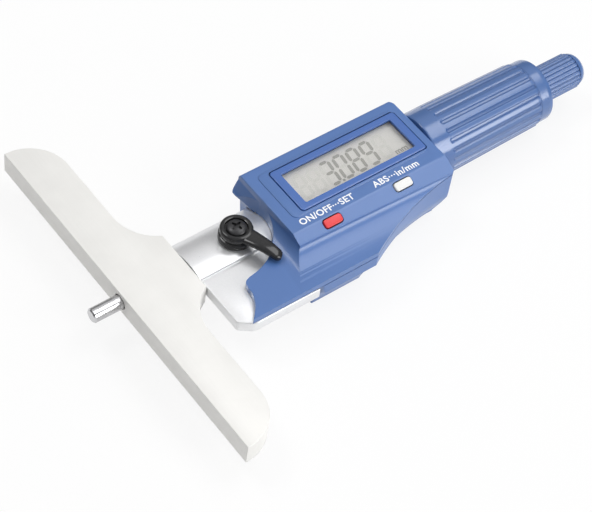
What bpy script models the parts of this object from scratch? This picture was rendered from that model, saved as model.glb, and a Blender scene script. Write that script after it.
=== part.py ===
"""Digital depth micrometer, lying on its back with the display up.

X runs along the measuring rod, from the measuring face towards the ratchet. Y runs along the
base, and Z points out of the display. All pieces are drawn round the spindle axis, with zero
at the measuring face, and one empty then sets the whole instrument on the ground.
All values are in metres.
"""

import math

import bmesh
import bpy
from mathutils import Vector

# Fits and cutting allowances
FIT = 0.0003
SLIDE_FIT = 0.0002
OVERRUN = 0.002
LARGE_SIDES = 32
MEDIUM_SIDES = 20
SMALL_SIDES = 12
ARC_STEPS = 6

# Measuring base, a flat steel wing with a neck
BASE_LENGTH = 0.1015
BASE_THICKNESS = 0.0062
WING_HEIGHT = 0.0114
END_RADIUS = 0.0108
NECK_HEIGHT = 0.0182
NECK_WIDTH = 0.0182
NECK_RADIUS = 0.0120
DOWEL_DIAMETER = 0.0018
DOWEL_LENGTH = 0.0080
DOWEL_SPACING = 0.0094

# Measuring rod and its two seat nuts
ROD_DIAMETER = 0.0038
ROD_OUT = 0.0080
ROD_TIP_CHAMFER = 0.0003
SEAT_NUT_LENGTH = 0.0015
SEAT_NUT_DIAMETER = 0.0062

# Frame casting: a flat arm, a thin web beside it and a plate inside the covers
ARM_LENGTH = 0.0215
ARM_UPPER = 0.0073
ARM_LOWER = 0.0061
ARM_INNER_LENGTH = 0.0022
WEB_FRONT = 0.0024
ARM_GROOVE_WIDTH = 0.0009
ARM_GROOVE_DEPTH = 0.0005
WEB_THICKNESS = 0.0032
WEB_EDGE = 0.0238
WEB_CORNER_LENGTH = 0.0034
WEB_CORNER_WIDTH = 0.0026
WEB_CORNER_SHARE = 0.25
PLATE_INSET = 0.0004
BOSS_LENGTH = 0.0068
BOSS_INSET = 0.0016
BOSS_DIAMETER = 0.0108
POST_DIAMETER = 0.0030

# Covers: one plan outline, parted along a seam that climbs towards the thimble
FRONT_REACH = 0.0015
HOUSING_UPPER = 0.0111
HOUSING_LOWER = 0.0236
HOUSING_WAIST = 0.0146
BULGE_LENGTH = 0.0185
WAIST_BEND_LENGTH = 0.0166
WAIST_BEND_Y = 0.0163
CORNER_RADIUS = 0.0020
WALL = 0.0013
SEAM = 0.00255
SEAM_LEVEL_LENGTH = 0.0200
SEAM_RISE = 0.0036
SKIRT_RISE = 0.0016
SKIRT_BEND_REACH = 0.0045
FACE_HEIGHT = 0.0090
FACE_INSET = 0.0015
BAND_UPPER = 0.0108
BAND_LOWER = 0.0138
BAND_DROP = 0.0014
COVE_EDGE = 0.0226
REAR_DEPTH = 0.0095
REAR_FLOOR = 0.0018
TAPER_START = 0.0024
TAPER = 0.0026
SKIRT_REACH = 0.0188
SKIRT_WAIST_REACH = 0.0148
SKIRT_WAIST_Y = 0.0180
SKIRT_SHOULDER_REACH = 0.0138
SKIRT_SHOULDER_Y = 0.0138
SKIRT_ROOT_REACH = 0.0065
SKIRT_ROOT_Y = 0.0116
SKIRT_END_REACH = 0.0032
SKIRT_END_Y = 0.0086

# Cover screws, driven from the back
SCREW_DIAMETER = 0.0014
SCREW_LENGTH = 0.0120
SCREW_HEAD_DIAMETER = 0.0026
SCREW_HEAD_HEIGHT = 0.0009
SCREW_BOSS_DIAMETER = 0.0038
SCREW_LEFT_INSET = 0.0051
SCREW_LEFT_SIDE = 0.0054
SCREW_BULGE = 0.0174
SCREW_RIGHT_INSET = 0.0120
SCREW_RIGHT_SIDE = 0.0066
SHORT_SCREW_LENGTH = 0.0104

# Display: bezel, window, glass, connectors and circuit board
DISPLAY_Y = 0.0004
DISPLAY_LEFT_MARGIN = 0.00625
DISPLAY_RIGHT_MARGIN = 0.00215
BEZEL_LENGTH = 0.0387
BEZEL_WIDTH = 0.0139
BEZEL_PROUD = 0.0003
BEZEL_DEPTH = 0.0019
BEZEL_CORNER = 0.0008
FLANGE_WIDTH = 0.0008
FLANGE_DEPTH = 0.0008
BEZEL_SIDE = 0.0024
BEZEL_EDGE = 0.00185
WINDOW_CORNER = 0.0002
LEDGE = 0.0008
LEDGE_DEPTH = 0.00045
WINDOW_THICKNESS = 0.0007
GLASS_THICKNESS = 0.0010
STRIP_WIDTH = 0.0015
STRIP_INSET = 0.00215
BOARD_THICKNESS = 0.0008
BOARD_HEIGHT = 0.0046
BOARD_INSET = 0.0086
BOARD_ENCODER_GAP = 0.0013
BOARD_UPPER = 0.0089
BOARD_LOWER = 0.0122
BOARD_TONGUE_INSET = 0.0074
BOARD_TONGUE_WIDTH = 0.0050
BOARD_SCREW_INSET = 0.0021
BOARD_SCREW_DISTANCE = 0.0064
BOARD_SCREW_DIAMETER = 0.0012
BOARD_SCREW_HEAD = 0.0022
BOARD_SCREW_LENGTH = 0.0024
BOARD_SCREW_HEAD_HEIGHT = 0.0005

# Push buttons on the sloping band, with a snap dome under each
POWER_BUTTON_INSET = 0.0126
MODE_BUTTON_INSET = 0.0143
BUTTON_LENGTH = 0.0052
BUTTON_WIDTH = 0.0022
BUTTON_PROUD = 0.0004
BUTTON_DEPTH = 0.0030
BUTTON_FLANGE_LENGTH = 0.0068
BUTTON_FLANGE_WIDTH = 0.0012
BUTTON_FLANGE_HEIGHT = 0.00025
BUTTON_CORNER = 0.0007
BUTTON_TRAVEL = 0.0004
DOME_DIAMETER = 0.0020
DOME_HEIGHT = 0.0003
DOME_TOP_DIAMETER = 0.0010

# Lock lever, pivoted on a boss of the arm
LOCK_DISTANCE = 0.0075
LOCK_Y = -0.0008
LOCK_BOSS_DIAMETER = 0.0066
LOCK_BOSS_RISE = 0.0012
LOCK_WASHER_DIAMETER = 0.0060
LOCK_WASHER_THICKNESS = 0.0004
LOCK_HUB_DIAMETER = 0.0082
LOCK_HUB_HEIGHT = 0.0022
LOCK_RECESS_DIAMETER = 0.0056
LOCK_RECESS_DEPTH = 0.0008
LOCK_SCREW_DIAMETER = 0.0023
LOCK_HEAD_DIAMETER = 0.0048
LOCK_HEAD_HEIGHT = 0.0011
LOCK_REACH = 0.0131
LOCK_TIP_DIAMETER = 0.0034
LOCK_ROOT_WIDTH = 0.0052
LOCK_ARM_THICKNESS = 0.0018
LOCK_ANGLE = math.radians(-70.6)
LOCK_SWEEP = 0.0095
LOCK_SWEEP_Y = 0.0004
PAD_DIAMETER = 0.0022
PAD_LENGTH = 0.0012
CROSS_DEPTH = 0.0004
CROSS_WIDTH = 0.0005
CROSS_REACH_SHARE = 0.6
LOCK_HEAD_TOP_SHARE = 0.6

# Spindle, a hollow screw that carries the rod
SPINDLE_DIAMETER = 0.0062
SPINDLE_BORE = 0.0043
SPINDLE_INSET = 0.0030
SPINDLE_START_GAP = 0.0017
SPINDLE_END_LENGTH = 0.0047
SPINDLE_FLANGE_DIAMETER = 0.0104
SPINDLE_FLANGE_LENGTH = 0.0017
SPINDLE_TRAVEL = 0.0250
KEYWAY_WIDTH = 0.0009
KEYWAY_DEPTH = 0.0006
KEYWAY_MARGIN = 0.0010

# Barrel, nut and wear adjuster
BARREL_INSET = 0.0141
BARREL_SHANK_DIAMETER = 0.0090
BARREL_DIAMETER = 0.0140
BARREL_REACH = 0.0289
NUT_DISTANCE = 0.0037
NUT_LENGTH = 0.0157
NUT_DIAMETER = 0.0108
ADJUSTER_LENGTH = 0.0032

# Rotary encoder
STATOR_THICKNESS = 0.0010
STATOR_DIAMETER = 0.0124
ROTOR_GAP = 0.0006
ROTOR_THICKNESS = 0.0010
ROTOR_DIAMETER = 0.0120
ROTOR_HUB_DIAMETER = 0.0092
ROTOR_HUB_LENGTH = 0.0030
KEY_LENGTH = 0.0009

# Thimble
THIMBLE_DIAMETER = 0.0188
THIMBLE_GAP = 0.0008
THIMBLE_LENGTH = 0.0386
THIMBLE_MOUTH_CHAMFER = 0.0004
THIMBLE_CONE = 0.0012
THIMBLE_NOSE_DIAMETER = 0.0112
THIMBLE_WALL_PLACE = 0.0310
THIMBLE_WALL_LENGTH = 0.0040
THIMBLE_NOSE_BORE = 0.0100
RIB_INSET = 0.0056
RIB_NOSE_MARGIN = 0.0035
RIB_COUNT = 22
RIB_GROOVE_WIDTH = 0.0014
RIB_GROOVE_DEPTH = 0.0005
RIB_TURN = math.radians(-3.6)

# Ratchet
CAP_DIAMETER = 0.0094
CAP_BORE = 0.0068
CAP_FLOOR_THICKNESS = 0.0006
CAP_REACH = 0.0016
STEM_DIAMETER = 0.0034
STEM_LENGTH = 0.0100
DISC_DIAMETER = 0.0068
DISC_THICKNESS = 0.0012
RATCHET_SPRING_DIAMETER = 0.0052
RATCHET_SPRING_WIRE = 0.0005
RATCHET_SPRING_LENGTH = 0.0042
RATCHET_SPRING_TURNS = 4
KNOB_DIAMETER = 0.0098
KNOB_BORE = 0.0074
KNOB_LENGTH = 0.0125
KNOB_WEB = 0.0010
KNOB_RIBS = 24
KNOB_RIB_TURN = math.radians(2.8)
KNOB_RIB_DEPTH = 0.0003
KNOB_CAP_LENGTH = 0.0026
KNOB_CAP_PLUG = 0.0008
RATCHET_SCREW_HEAD = 0.0050
RATCHET_SCREW_HEIGHT = 0.0009
RATCHET_SCREW_DIAMETER = 0.0014
RATCHET_SCREW_DEPTH = 0.0040

# Battery compartment in the bulge
BATTERY_INSET = 0.0128
BATTERY_Y = -0.0105
BATTERY_DIAMETER = 0.0116
BATTERY_HEIGHT = 0.0054
BATTERY_CAP_DIAMETER = 0.0132
BATTERY_CAP_STEP = 0.0004
SEAL_WIDTH = 0.0005
SEAL_HEIGHT = 0.0004
COIN_SLOT_WIDTH = 0.0014
COIN_SLOT_DEPTH = 0.0006
COIN_SLOT_LENGTH = 0.0090
CONTACT_WIDTH = 0.0030
CONTACT_LENGTH = 0.0080
CONTACT_THICKNESS = 0.00025
CONTACT_CLIP_WIDTH = 0.0040
CONTACT_CLIP_HEIGHT = 0.0060
CONTACT_BOW_SHARES = (-1, -0.5, 0, 0.5, 1)

# Values that follow from the sizes above
HALF_BASE = BASE_LENGTH / 2
HALF_THICKNESS = BASE_THICKNESS / 2
HALF_NECK = NECK_WIDTH / 2
ROD_RADIUS = ROD_DIAMETER / 2
ROD_BORE_RADIUS = ROD_RADIUS + SLIDE_FIT
SPINDLE_RADIUS = SPINDLE_DIAMETER / 2
WEB_BACK = WEB_FRONT - WEB_THICKNESS
FACE_LOW = FACE_HEIGHT - BAND_DROP
SKIRT_TOP = SEAM + FIT / 2 + SKIRT_RISE
CUT = FIT / 2
WINDOW_LENGTH = BEZEL_LENGTH - 2 * BEZEL_SIDE
WINDOW_WIDTH = BEZEL_WIDTH - 2 * BEZEL_EDGE

# Places along the spindle axis, from the base to the knob
ARM_START = NECK_HEIGHT + FIT
HOUSING_START = ARM_START + ARM_LENGTH
FRONT_START = HOUSING_START - FRONT_REACH
REAR_START = HOUSING_START + FIT
FACE_START = HOUSING_START + FACE_INSET
SKIRT_TIP = HOUSING_START - SKIRT_REACH
SKIRT_WAIST_X = HOUSING_START - SKIRT_WAIST_REACH
SKIRT_SHOULDER_X = HOUSING_START - SKIRT_SHOULDER_REACH
SKIRT_ROOT_X = HOUSING_START - SKIRT_ROOT_REACH
SKIRT_END_X = HOUSING_START - SKIRT_END_REACH
SKIRT_BEND = HOUSING_START - SKIRT_BEND_REACH
BULGE_END = HOUSING_START + BULGE_LENGTH
SEAM_BEND = HOUSING_START + SEAM_LEVEL_LENGTH
LOCK_X = HOUSING_START - LOCK_DISTANCE
BATTERY_X = HOUSING_START + BATTERY_INSET
DISPLAY_X = FACE_START + DISPLAY_LEFT_MARGIN + BEZEL_LENGTH / 2
HOUSING_END = DISPLAY_X + BEZEL_LENGTH / 2 + DISPLAY_RIGHT_MARGIN
WAIST_BEND_X = HOUSING_END - WAIST_BEND_LENGTH
SCREW_LEFT = HOUSING_START + SCREW_LEFT_INSET
SCREW_RIGHT = HOUSING_END - SCREW_RIGHT_INSET
POWER_BUTTON_X = HOUSING_START + POWER_BUTTON_INSET
MODE_BUTTON_X = HOUSING_END - MODE_BUTTON_INSET
SPINDLE_START = HOUSING_START + SPINDLE_INSET
BARREL_START = HOUSING_END - BARREL_INSET
BARREL_END = HOUSING_END + BARREL_REACH
NUT_START = HOUSING_END + NUT_DISTANCE
ROTOR_END = BARREL_START - FIT - STATOR_THICKNESS - ROTOR_GAP
ROTOR_START = ROTOR_END - ROTOR_HUB_LENGTH
BOARD_START = HOUSING_START + BOARD_INSET
BOARD_END = ROTOR_START - BOARD_ENCODER_GAP
BOARD_TONGUE_END = HOUSING_END - BOARD_TONGUE_INSET
THIMBLE_START = HOUSING_END + THIMBLE_GAP
THIMBLE_END = THIMBLE_START + THIMBLE_LENGTH
THIMBLE_WALL_START = THIMBLE_START + THIMBLE_WALL_PLACE
SPINDLE_END = THIMBLE_WALL_START + SPINDLE_END_LENGTH
RIB_START = THIMBLE_START + RIB_INSET
RIB_END = THIMBLE_END - RIB_NOSE_MARGIN
CAP_END = THIMBLE_END + CAP_REACH
CAP_FLOOR = CAP_END - CAP_FLOOR_THICKNESS
STEM_END = CAP_END + STEM_LENGTH
KNOB_START = CAP_END + FIT
KNOB_END = KNOB_START + KNOB_LENGTH
LENGTH_END = KNOB_END + FIT + KNOB_CAP_LENGTH


def material(name, colour, roughness, metallic=0.0):
    """A Principled material with the given colour, roughness and metallic value."""
    made = bpy.data.materials.new(name)
    made.use_nodes = True
    shader = made.node_tree.nodes["Principled BSDF"]
    shader.inputs["Base Color"].default_value = (*colour, 1.0)
    shader.inputs["Roughness"].default_value = roughness
    shader.inputs["Metallic"].default_value = metallic
    return made


def make_object(name, bm, finish=None):
    """Turn a bmesh into an object under the ground empty, with its faces pointing out."""
    bmesh.ops.recalc_face_normals(bm, faces=bm.faces)
    mesh = bpy.data.meshes.new(name)
    bm.to_mesh(mesh)
    bm.free()
    mesh.shade_smooth()
    mesh.set_sharp_from_angle(angle=math.radians(35))
    made = bpy.data.objects.new(name, mesh)
    bpy.context.scene.collection.objects.link(made)
    made.parent = GROUND
    if finish is None:
        made.hide_render = True
        made.display_type = "WIRE"
    else:
        mesh.materials.append(finish)
    return made


def change(target, tool, operation):
    """Add an exact Boolean with a tool object, which is hidden, and keep faces with holes
    in triangles so that the next Boolean reads them well."""
    tool.hide_render = True
    tool.display_type = "WIRE"
    step = target.modifiers.new(tool.name, "BOOLEAN")
    step.operation = operation
    step.solver = "EXACT"
    step.object = tool
    target.modifiers.new(f"{tool.name}_triangles", "TRIANGULATE")


def cut(target, *tools):
    for tool in tools:
        change(target, tool, "DIFFERENCE")


def join(target, *tools):
    for tool in tools:
        change(target, tool, "UNION")


def keep_common(target, *tools):
    for tool in tools:
        change(target, tool, "INTERSECT")


def arc(centre, radius, start, end, steps=ARC_STEPS):
    """Points on an arc from one angle to another, both ends included."""
    points = []
    for step in range(steps + 1):
        angle = start + (end - start) * step / steps
        points.append((centre[0] + radius * math.cos(angle), centre[1] + radius * math.sin(angle)))
    return points


def smooth_through(points, steps):
    """A smooth open curve through the given points, as straight steps between samples."""
    curve = []
    padded = [points[0], *points, points[-1]]
    for first, second, third, fourth in zip(padded, padded[1:], padded[2:], padded[3:]):
        for step in range(steps):
            t = step / steps
            weights = (
                (-t + 2 * t**2 - t**3) / 2,
                (2 - 5 * t**2 + 3 * t**3) / 2,
                (t + 4 * t**2 - 3 * t**3) / 2,
                (-(t**2) + t**3) / 2,
            )
            group = (first, second, third, fourth)
            curve.append(tuple(sum(w * p[axis] for w, p in zip(weights, group)) for axis in (0, 1)))
    curve.append(points[-1])
    return curve


def loft(name, sections, finish=None):
    """A closed body through sections, lists of as many 3-D points each."""
    bm = bmesh.new()
    rings = [[bm.verts.new(point) for point in section] for section in sections]
    for lower, upper in zip(rings, rings[1:]):
        for index in range(len(lower)):
            after = (index + 1) % len(lower)
            bm.faces.new((lower[index], lower[after], upper[after], upper[index]))
    bm.faces.new(rings[0])
    bm.faces.new(rings[-1])
    return make_object(name, bm, finish)


def plate(name, outline, low, high, finish=None):
    """An outline in plan, extruded from one height to another."""
    sections = [[(x, y, height) for x, y in outline] for height in (low, high)]
    return loft(name, sections, finish)


def side_profile(name, outline, start, end, finish=None):
    """An outline in Y and Z, extruded along X."""
    sections = [[(x, y, z) for y, z in outline] for x in (start, end)]
    return loft(name, sections, finish)


def end_profile(name, outline, start, end, finish=None):
    """An outline in X and Z, extruded along Y."""
    sections = [[(x, y, z) for x, z in outline] for y in (start, end)]
    return loft(name, sections, finish)


def block(name, x, y, z, finish=None):
    """A box between the given pairs of limits."""
    outline = [(x[0], y[0]), (x[1], y[0]), (x[1], y[1]), (x[0], y[1])]
    return plate(name, outline, z[0], z[1], finish)


def rounded_rectangle(centre, length, width, radius, steps=3):
    """Corner points of a rectangle with rounded corners, anticlockwise."""
    points = []
    for turn, (side_x, side_y) in enumerate(((1, 1), (-1, 1), (-1, -1), (1, -1))):
        corner = (
            centre[0] + side_x * (length / 2 - radius),
            centre[1] + side_y * (width / 2 - radius),
        )
        start = turn * math.pi / 2
        points += arc(corner, radius, start, start + math.pi / 2, steps)
    return points


def turned(name, profile, sides, finish=None, upright=None):
    """A profile of (distance along, radius) turned about the spindle axis, or about a
    vertical axis through the point given as upright, where the object then has its origin."""
    bm = bmesh.new()
    rings = []
    for along, radius in profile:
        count = sides if radius > 0 else 1
        ring = []
        for index in range(count):
            angle = 2 * math.pi * (index + 0.5) / count
            across = radius * math.cos(angle)
            over = radius * math.sin(angle)
            if upright is None:
                ring.append(bm.verts.new((along, across, over)))
            else:
                ring.append(bm.verts.new((across, over, along)))
        rings.append(ring)
    bored = profile[0][1] > 0
    following = rings[1:] + (rings[:1] if bored else [])
    for here, after in zip(rings, following):
        for index in range(sides):
            step = (index + 1) % sides
            if len(here) == 1:
                bm.faces.new((here[0], after[index], after[step]))
            elif len(after) == 1:
                bm.faces.new((here[index], after[0], here[step]))
            else:
                bm.faces.new((here[index], after[index], after[step], here[step]))
    made = make_object(name, bm, finish)
    if upright is not None:
        made.location = (*upright, 0)
    return made


def bar(name, start, end, radius, sides, finish=None, upright=None):
    """A plain round bar along the spindle axis or upright."""
    profile = [(start, 0), (start, radius), (end, radius), (end, 0)]
    return turned(name, profile, sides, finish, upright)


def tube(name, start, end, inner, outer, sides, finish=None, upright=None):
    """A plain round tube along the spindle axis or upright."""
    profile = [(start, inner), (start, outer), (end, outer), (end, inner)]
    return turned(name, profile, sides, finish, upright)


def moved_bar(name, start, end, radius, y, z, sides, finish=None):
    """A plain round bar parallel to the spindle axis."""
    made = bar(name, start, end, radius, sides, finish)
    made.location = (0, y, z)
    return made


def seam_outline(offset, height, start):
    """Everything above the seam, moved up by an offset, as an outline in X and Z."""
    end = HOUSING_END + OVERRUN
    slope = SEAM_RISE / (HOUSING_END - SEAM_BEND)
    return [
        (start, SEAM + offset),
        (SEAM_BEND, SEAM + offset),
        (end, SEAM + offset + slope * (end - SEAM_BEND)),
        (end, height),
        (start, height),
    ]


def waist_curve(inner):
    """The lower edge from the bulge to the thimble end, a parabola moved in by a distance."""
    start = (BULGE_END - inner / 2, -HOUSING_LOWER + inner)
    bend = (WAIST_BEND_X, -WAIST_BEND_Y + inner)
    end = (HOUSING_END - CORNER_RADIUS - inner, -HOUSING_WAIST + inner)
    points = []
    steps = 2 * ARC_STEPS
    for step in range(steps + 1):
        t = step / steps
        weights = ((1 - t) ** 2, 2 * t * (1 - t), t**2)
        points.append(tuple(sum(w * v for w, v in zip(weights, axis)) for axis in zip(start, bend, end)))
    return points


def housing_right(inner):
    """The common plan outline from the bulge round the thimble end to the upper left."""
    radius = max(CORNER_RADIUS - inner, FIT)
    right = HOUSING_END - inner - radius
    small = radius / 2
    lower = (HOUSING_END - inner - small, -HOUSING_WAIST + inner + small)
    upper = (right, HOUSING_UPPER - inner - radius)
    return (
        waist_curve(inner)
        + arc(lower, small, -math.pi / 2, 0, 2)
        + arc(upper, radius, 0, math.pi / 2, 4)
    )


def front_plan():
    """Plan outline of the front cover: the common outline, a scoop round the lock lever and
    a skirt that reaches over the web of the frame."""
    corner = (FRONT_START + CORNER_RADIUS / 2, HOUSING_UPPER - CORNER_RADIUS / 2)
    bite = math.acos((FRONT_START - LOCK_X) / LOCK_SWEEP)
    scoop = arc((LOCK_X, LOCK_SWEEP_Y), LOCK_SWEEP, bite, -bite)
    skirt = smooth_through(
        [
            (SKIRT_END_X, -SKIRT_END_Y),
            (SKIRT_ROOT_X, -SKIRT_ROOT_Y),
            (SKIRT_SHOULDER_X, -SKIRT_SHOULDER_Y),
            (SKIRT_WAIST_X, -SKIRT_WAIST_Y),
            (SKIRT_TIP, -HOUSING_LOWER),
        ],
        4,
    )
    return (
        housing_right(0)
        + arc(corner, CORNER_RADIUS / 2, math.pi / 2, math.pi, 3)
        + scoop
        + skirt
    )


def rear_plan(inner):
    """Plan outline of the rear cover, which starts behind the web of the frame."""
    start = REAR_START + inner
    radius = max(CORNER_RADIUS / 2 - inner, FIT)
    upper = (start + radius, HOUSING_UPPER - inner - radius)
    lower = (start + radius, -HOUSING_LOWER + inner + radius)
    return (
        housing_right(inner)
        + arc(upper, radius, math.pi / 2, math.pi, 3)
        + arc(lower, radius, math.pi, 3 * math.pi / 2, 3)
    )


def cove(centre, reach, drop, start, end, steps=ARC_STEPS):
    """A quarter of an ellipse, as a hollow edge between two levels."""
    points = []
    for step in range(steps + 1):
        angle = start + (end - start) * step / steps
        points.append((centre[0] + reach * math.cos(angle), centre[1] + drop * math.sin(angle)))
    return points


def screw_places():
    """Name, place and length of each cover screw. The short ones end in the frame."""
    return (
        ("upper_left", SCREW_LEFT, SCREW_LEFT_SIDE, SCREW_LENGTH),
        ("upper_right", SCREW_RIGHT, SCREW_RIGHT_SIDE, SHORT_SCREW_LENGTH),
        ("lower_left", SCREW_LEFT, -SCREW_BULGE, SCREW_LENGTH),
        ("lower_right", SCREW_RIGHT, -SCREW_RIGHT_SIDE, SHORT_SCREW_LENGTH),
    )


def make_base():
    """Steel wing with a flat measuring face, its neck bored for the rod and two dowels."""
    end_x = WING_HEIGHT - END_RADIUS
    end_y = HALF_BASE - math.sqrt(END_RADIUS**2 - end_x**2)
    tip = math.asin(-end_x / END_RADIUS)
    neck_x = WING_HEIGHT + NECK_RADIUS
    neck_reach = math.sqrt(NECK_RADIUS**2 - (neck_x - NECK_HEIGHT) ** 2)
    neck_y = HALF_NECK + neck_reach
    turn = math.asin((neck_x - NECK_HEIGHT) / NECK_RADIUS)
    outline = []
    for x, y in arc((end_y, end_x), END_RADIUS, tip, math.pi / 2, 2 * ARC_STEPS):
        outline.append((y, x))
    for x, y in arc((neck_y, neck_x), NECK_RADIUS, -math.pi / 2, -math.pi + turn, ARC_STEPS):
        outline.append((y, x))
    outline += [(x, -y) for x, y in reversed(outline)]
    base = plate("measuring_base", outline, -HALF_THICKNESS, HALF_THICKNESS, STEEL)
    cut(base, bar("base_bore", -OVERRUN, NECK_HEIGHT + OVERRUN, ROD_BORE_RADIUS, MEDIUM_SIDES))
    middle = (ARM_UPPER - ARM_LOWER) / 2
    for side, name in ((1, "upper"), (-1, "lower")):
        y = middle + side * DOWEL_SPACING / 2
        start = NECK_HEIGHT - DOWEL_LENGTH / 2
        hole = moved_bar(
            f"base_hole_{name}", start - FIT, NECK_HEIGHT + OVERRUN,
            DOWEL_DIAMETER / 2 + FIT, y, 0, SMALL_SIDES,
        )
        cut(base, hole)
        moved_bar(
            f"base_dowel_{name}", start, start + DOWEL_LENGTH,
            DOWEL_DIAMETER / 2, y, 0, SMALL_SIDES, STEEL,
        )


def arm_section():
    """Section of the arm: flat front and back, the upper edge fully rounded."""
    top = arc(
        (ARM_UPPER - HALF_THICKNESS, 0), HALF_THICKNESS, math.pi / 2, -math.pi / 2, ARC_STEPS
    )
    return top + [(-ARM_LOWER, -HALF_THICKNESS), (-ARM_LOWER, HALF_THICKNESS)]


def frame_plan():
    """Web beside the arm, then the plate that stands inside the covers."""
    inset_y = HOUSING_LOWER - WALL - FIT
    right = HOUSING_END - WALL - PLATE_INSET
    upper = HOUSING_UPPER - WALL - PLATE_INSET
    lower = BAND_LOWER - WALL
    bulge = BULGE_END - 2 * WALL
    left = HOUSING_START + WALL + FIT + PLATE_INSET
    return [
        (ARM_START, 0),
        (ARM_START, -WEB_EDGE + WEB_CORNER_WIDTH),
        (
            ARM_START + WEB_CORNER_LENGTH * WEB_CORNER_SHARE,
            -WEB_EDGE + WEB_CORNER_WIDTH * WEB_CORNER_SHARE,
        ),
        (ARM_START + WEB_CORNER_LENGTH, -WEB_EDGE),
        (HOUSING_START, -WEB_EDGE),
        (HOUSING_START, -inset_y),
        (bulge, -inset_y),
        (bulge, -lower),
        (right, -lower),
        (right, upper),
        (left, upper),
        (left, 0),
    ]


def make_frame():
    """Cast frame: arm, web, lock boss, inner plate and the boss that holds the barrel."""
    frame = plate("frame_body", frame_plan(), WEB_BACK, WEB_FRONT, CAST)
    arm_end = HOUSING_START + ARM_INNER_LENGTH
    boss_end = HOUSING_END - WALL - BOSS_INSET
    spindle_way = SPINDLE_RADIUS + FIT
    slot_way = spindle_way + FIT
    encoder_way = STATOR_DIAMETER / 2 + FIT
    bore_start = SPINDLE_START - SPINDLE_START_GAP
    through = (WEB_BACK - OVERRUN, WEB_FRONT + OVERRUN)
    cut(
        frame,
        block("frame_spindle_slot", (arm_end, ROTOR_START), (-slot_way, slot_way), through),
        block("frame_encoder_slot", (ROTOR_START - 2 * FIT, BARREL_START),
              (-encoder_way, encoder_way), through),
        block("frame_arm_groove", (ARM_START - OVERRUN, HOUSING_START),
              (-ARM_LOWER - ARM_GROOVE_WIDTH, -ARM_LOWER + FIT),
              (WEB_FRONT - ARM_GROOVE_DEPTH, WEB_FRONT + OVERRUN)),
    )
    for name, x, y, _ in screw_places():
        cut(frame, bar(
            f"frame_screw_{name}", *through,
            SCREW_DIAMETER / 2 + FIT, SMALL_SIDES, upright=(x, y),
        ))
    arm = side_profile("frame_arm", arm_section(), ARM_START - FIT / 2, arm_end + FIT)
    lock_boss = bar(
        "frame_lock_boss", 0, HALF_THICKNESS + LOCK_BOSS_RISE,
        LOCK_BOSS_DIAMETER / 2, MEDIUM_SIDES, upright=(LOCK_X, LOCK_Y),
    )
    barrel_boss = bar(
        "frame_barrel_boss", boss_end - BOSS_LENGTH, boss_end,
        BOSS_DIAMETER / 2, MEDIUM_SIDES,
    )
    join(frame, arm, lock_boss, barrel_boss)
    for name, x, y in board_screw_places():
        join(frame, bar(
            f"frame_post_{name}", WEB_BACK + FIT, BOARD_HEIGHT - FIT,
            POST_DIAMETER / 2, SMALL_SIDES, upright=(x, y),
        ))
    cut(
        frame,
        bar("frame_rod_bore", ARM_START - OVERRUN, bore_start + FIT, ROD_BORE_RADIUS, MEDIUM_SIDES),
        bar("frame_spindle_bore", bore_start, arm_end + OVERRUN, spindle_way, MEDIUM_SIDES),
        bar("frame_lock_hole", 0, HALF_THICKNESS + LOCK_BOSS_RISE + OVERRUN,
            PAD_DIAMETER / 2 + FIT, SMALL_SIDES, upright=(LOCK_X, LOCK_Y)),
    )
    middle = (ARM_UPPER - ARM_LOWER) / 2
    for side, name in ((1, "upper"), (-1, "lower")):
        cut(frame, moved_bar(
            f"frame_dowel_{name}", ARM_START - OVERRUN,
            NECK_HEIGHT + DOWEL_LENGTH / 2 + FIT, DOWEL_DIAMETER / 2 + FIT,
            middle + side * DOWEL_SPACING / 2, 0, SMALL_SIDES,
        ))
    for name, x, y in board_screw_places():
        cut(frame, bar(
            f"frame_board_screw_{name}", BOARD_HEIGHT - BOARD_SCREW_LENGTH - FIT,
            BOARD_HEIGHT + OVERRUN, BOARD_SCREW_DIAMETER / 2 + FIT, SMALL_SIDES, upright=(x, y),
        ))
    cut(frame, bar(
        "frame_barrel_bore", BARREL_START - OVERRUN / 2, boss_end + OVERRUN,
        BARREL_SHANK_DIAMETER / 2 + FIT, MEDIUM_SIDES,
    ))


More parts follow.
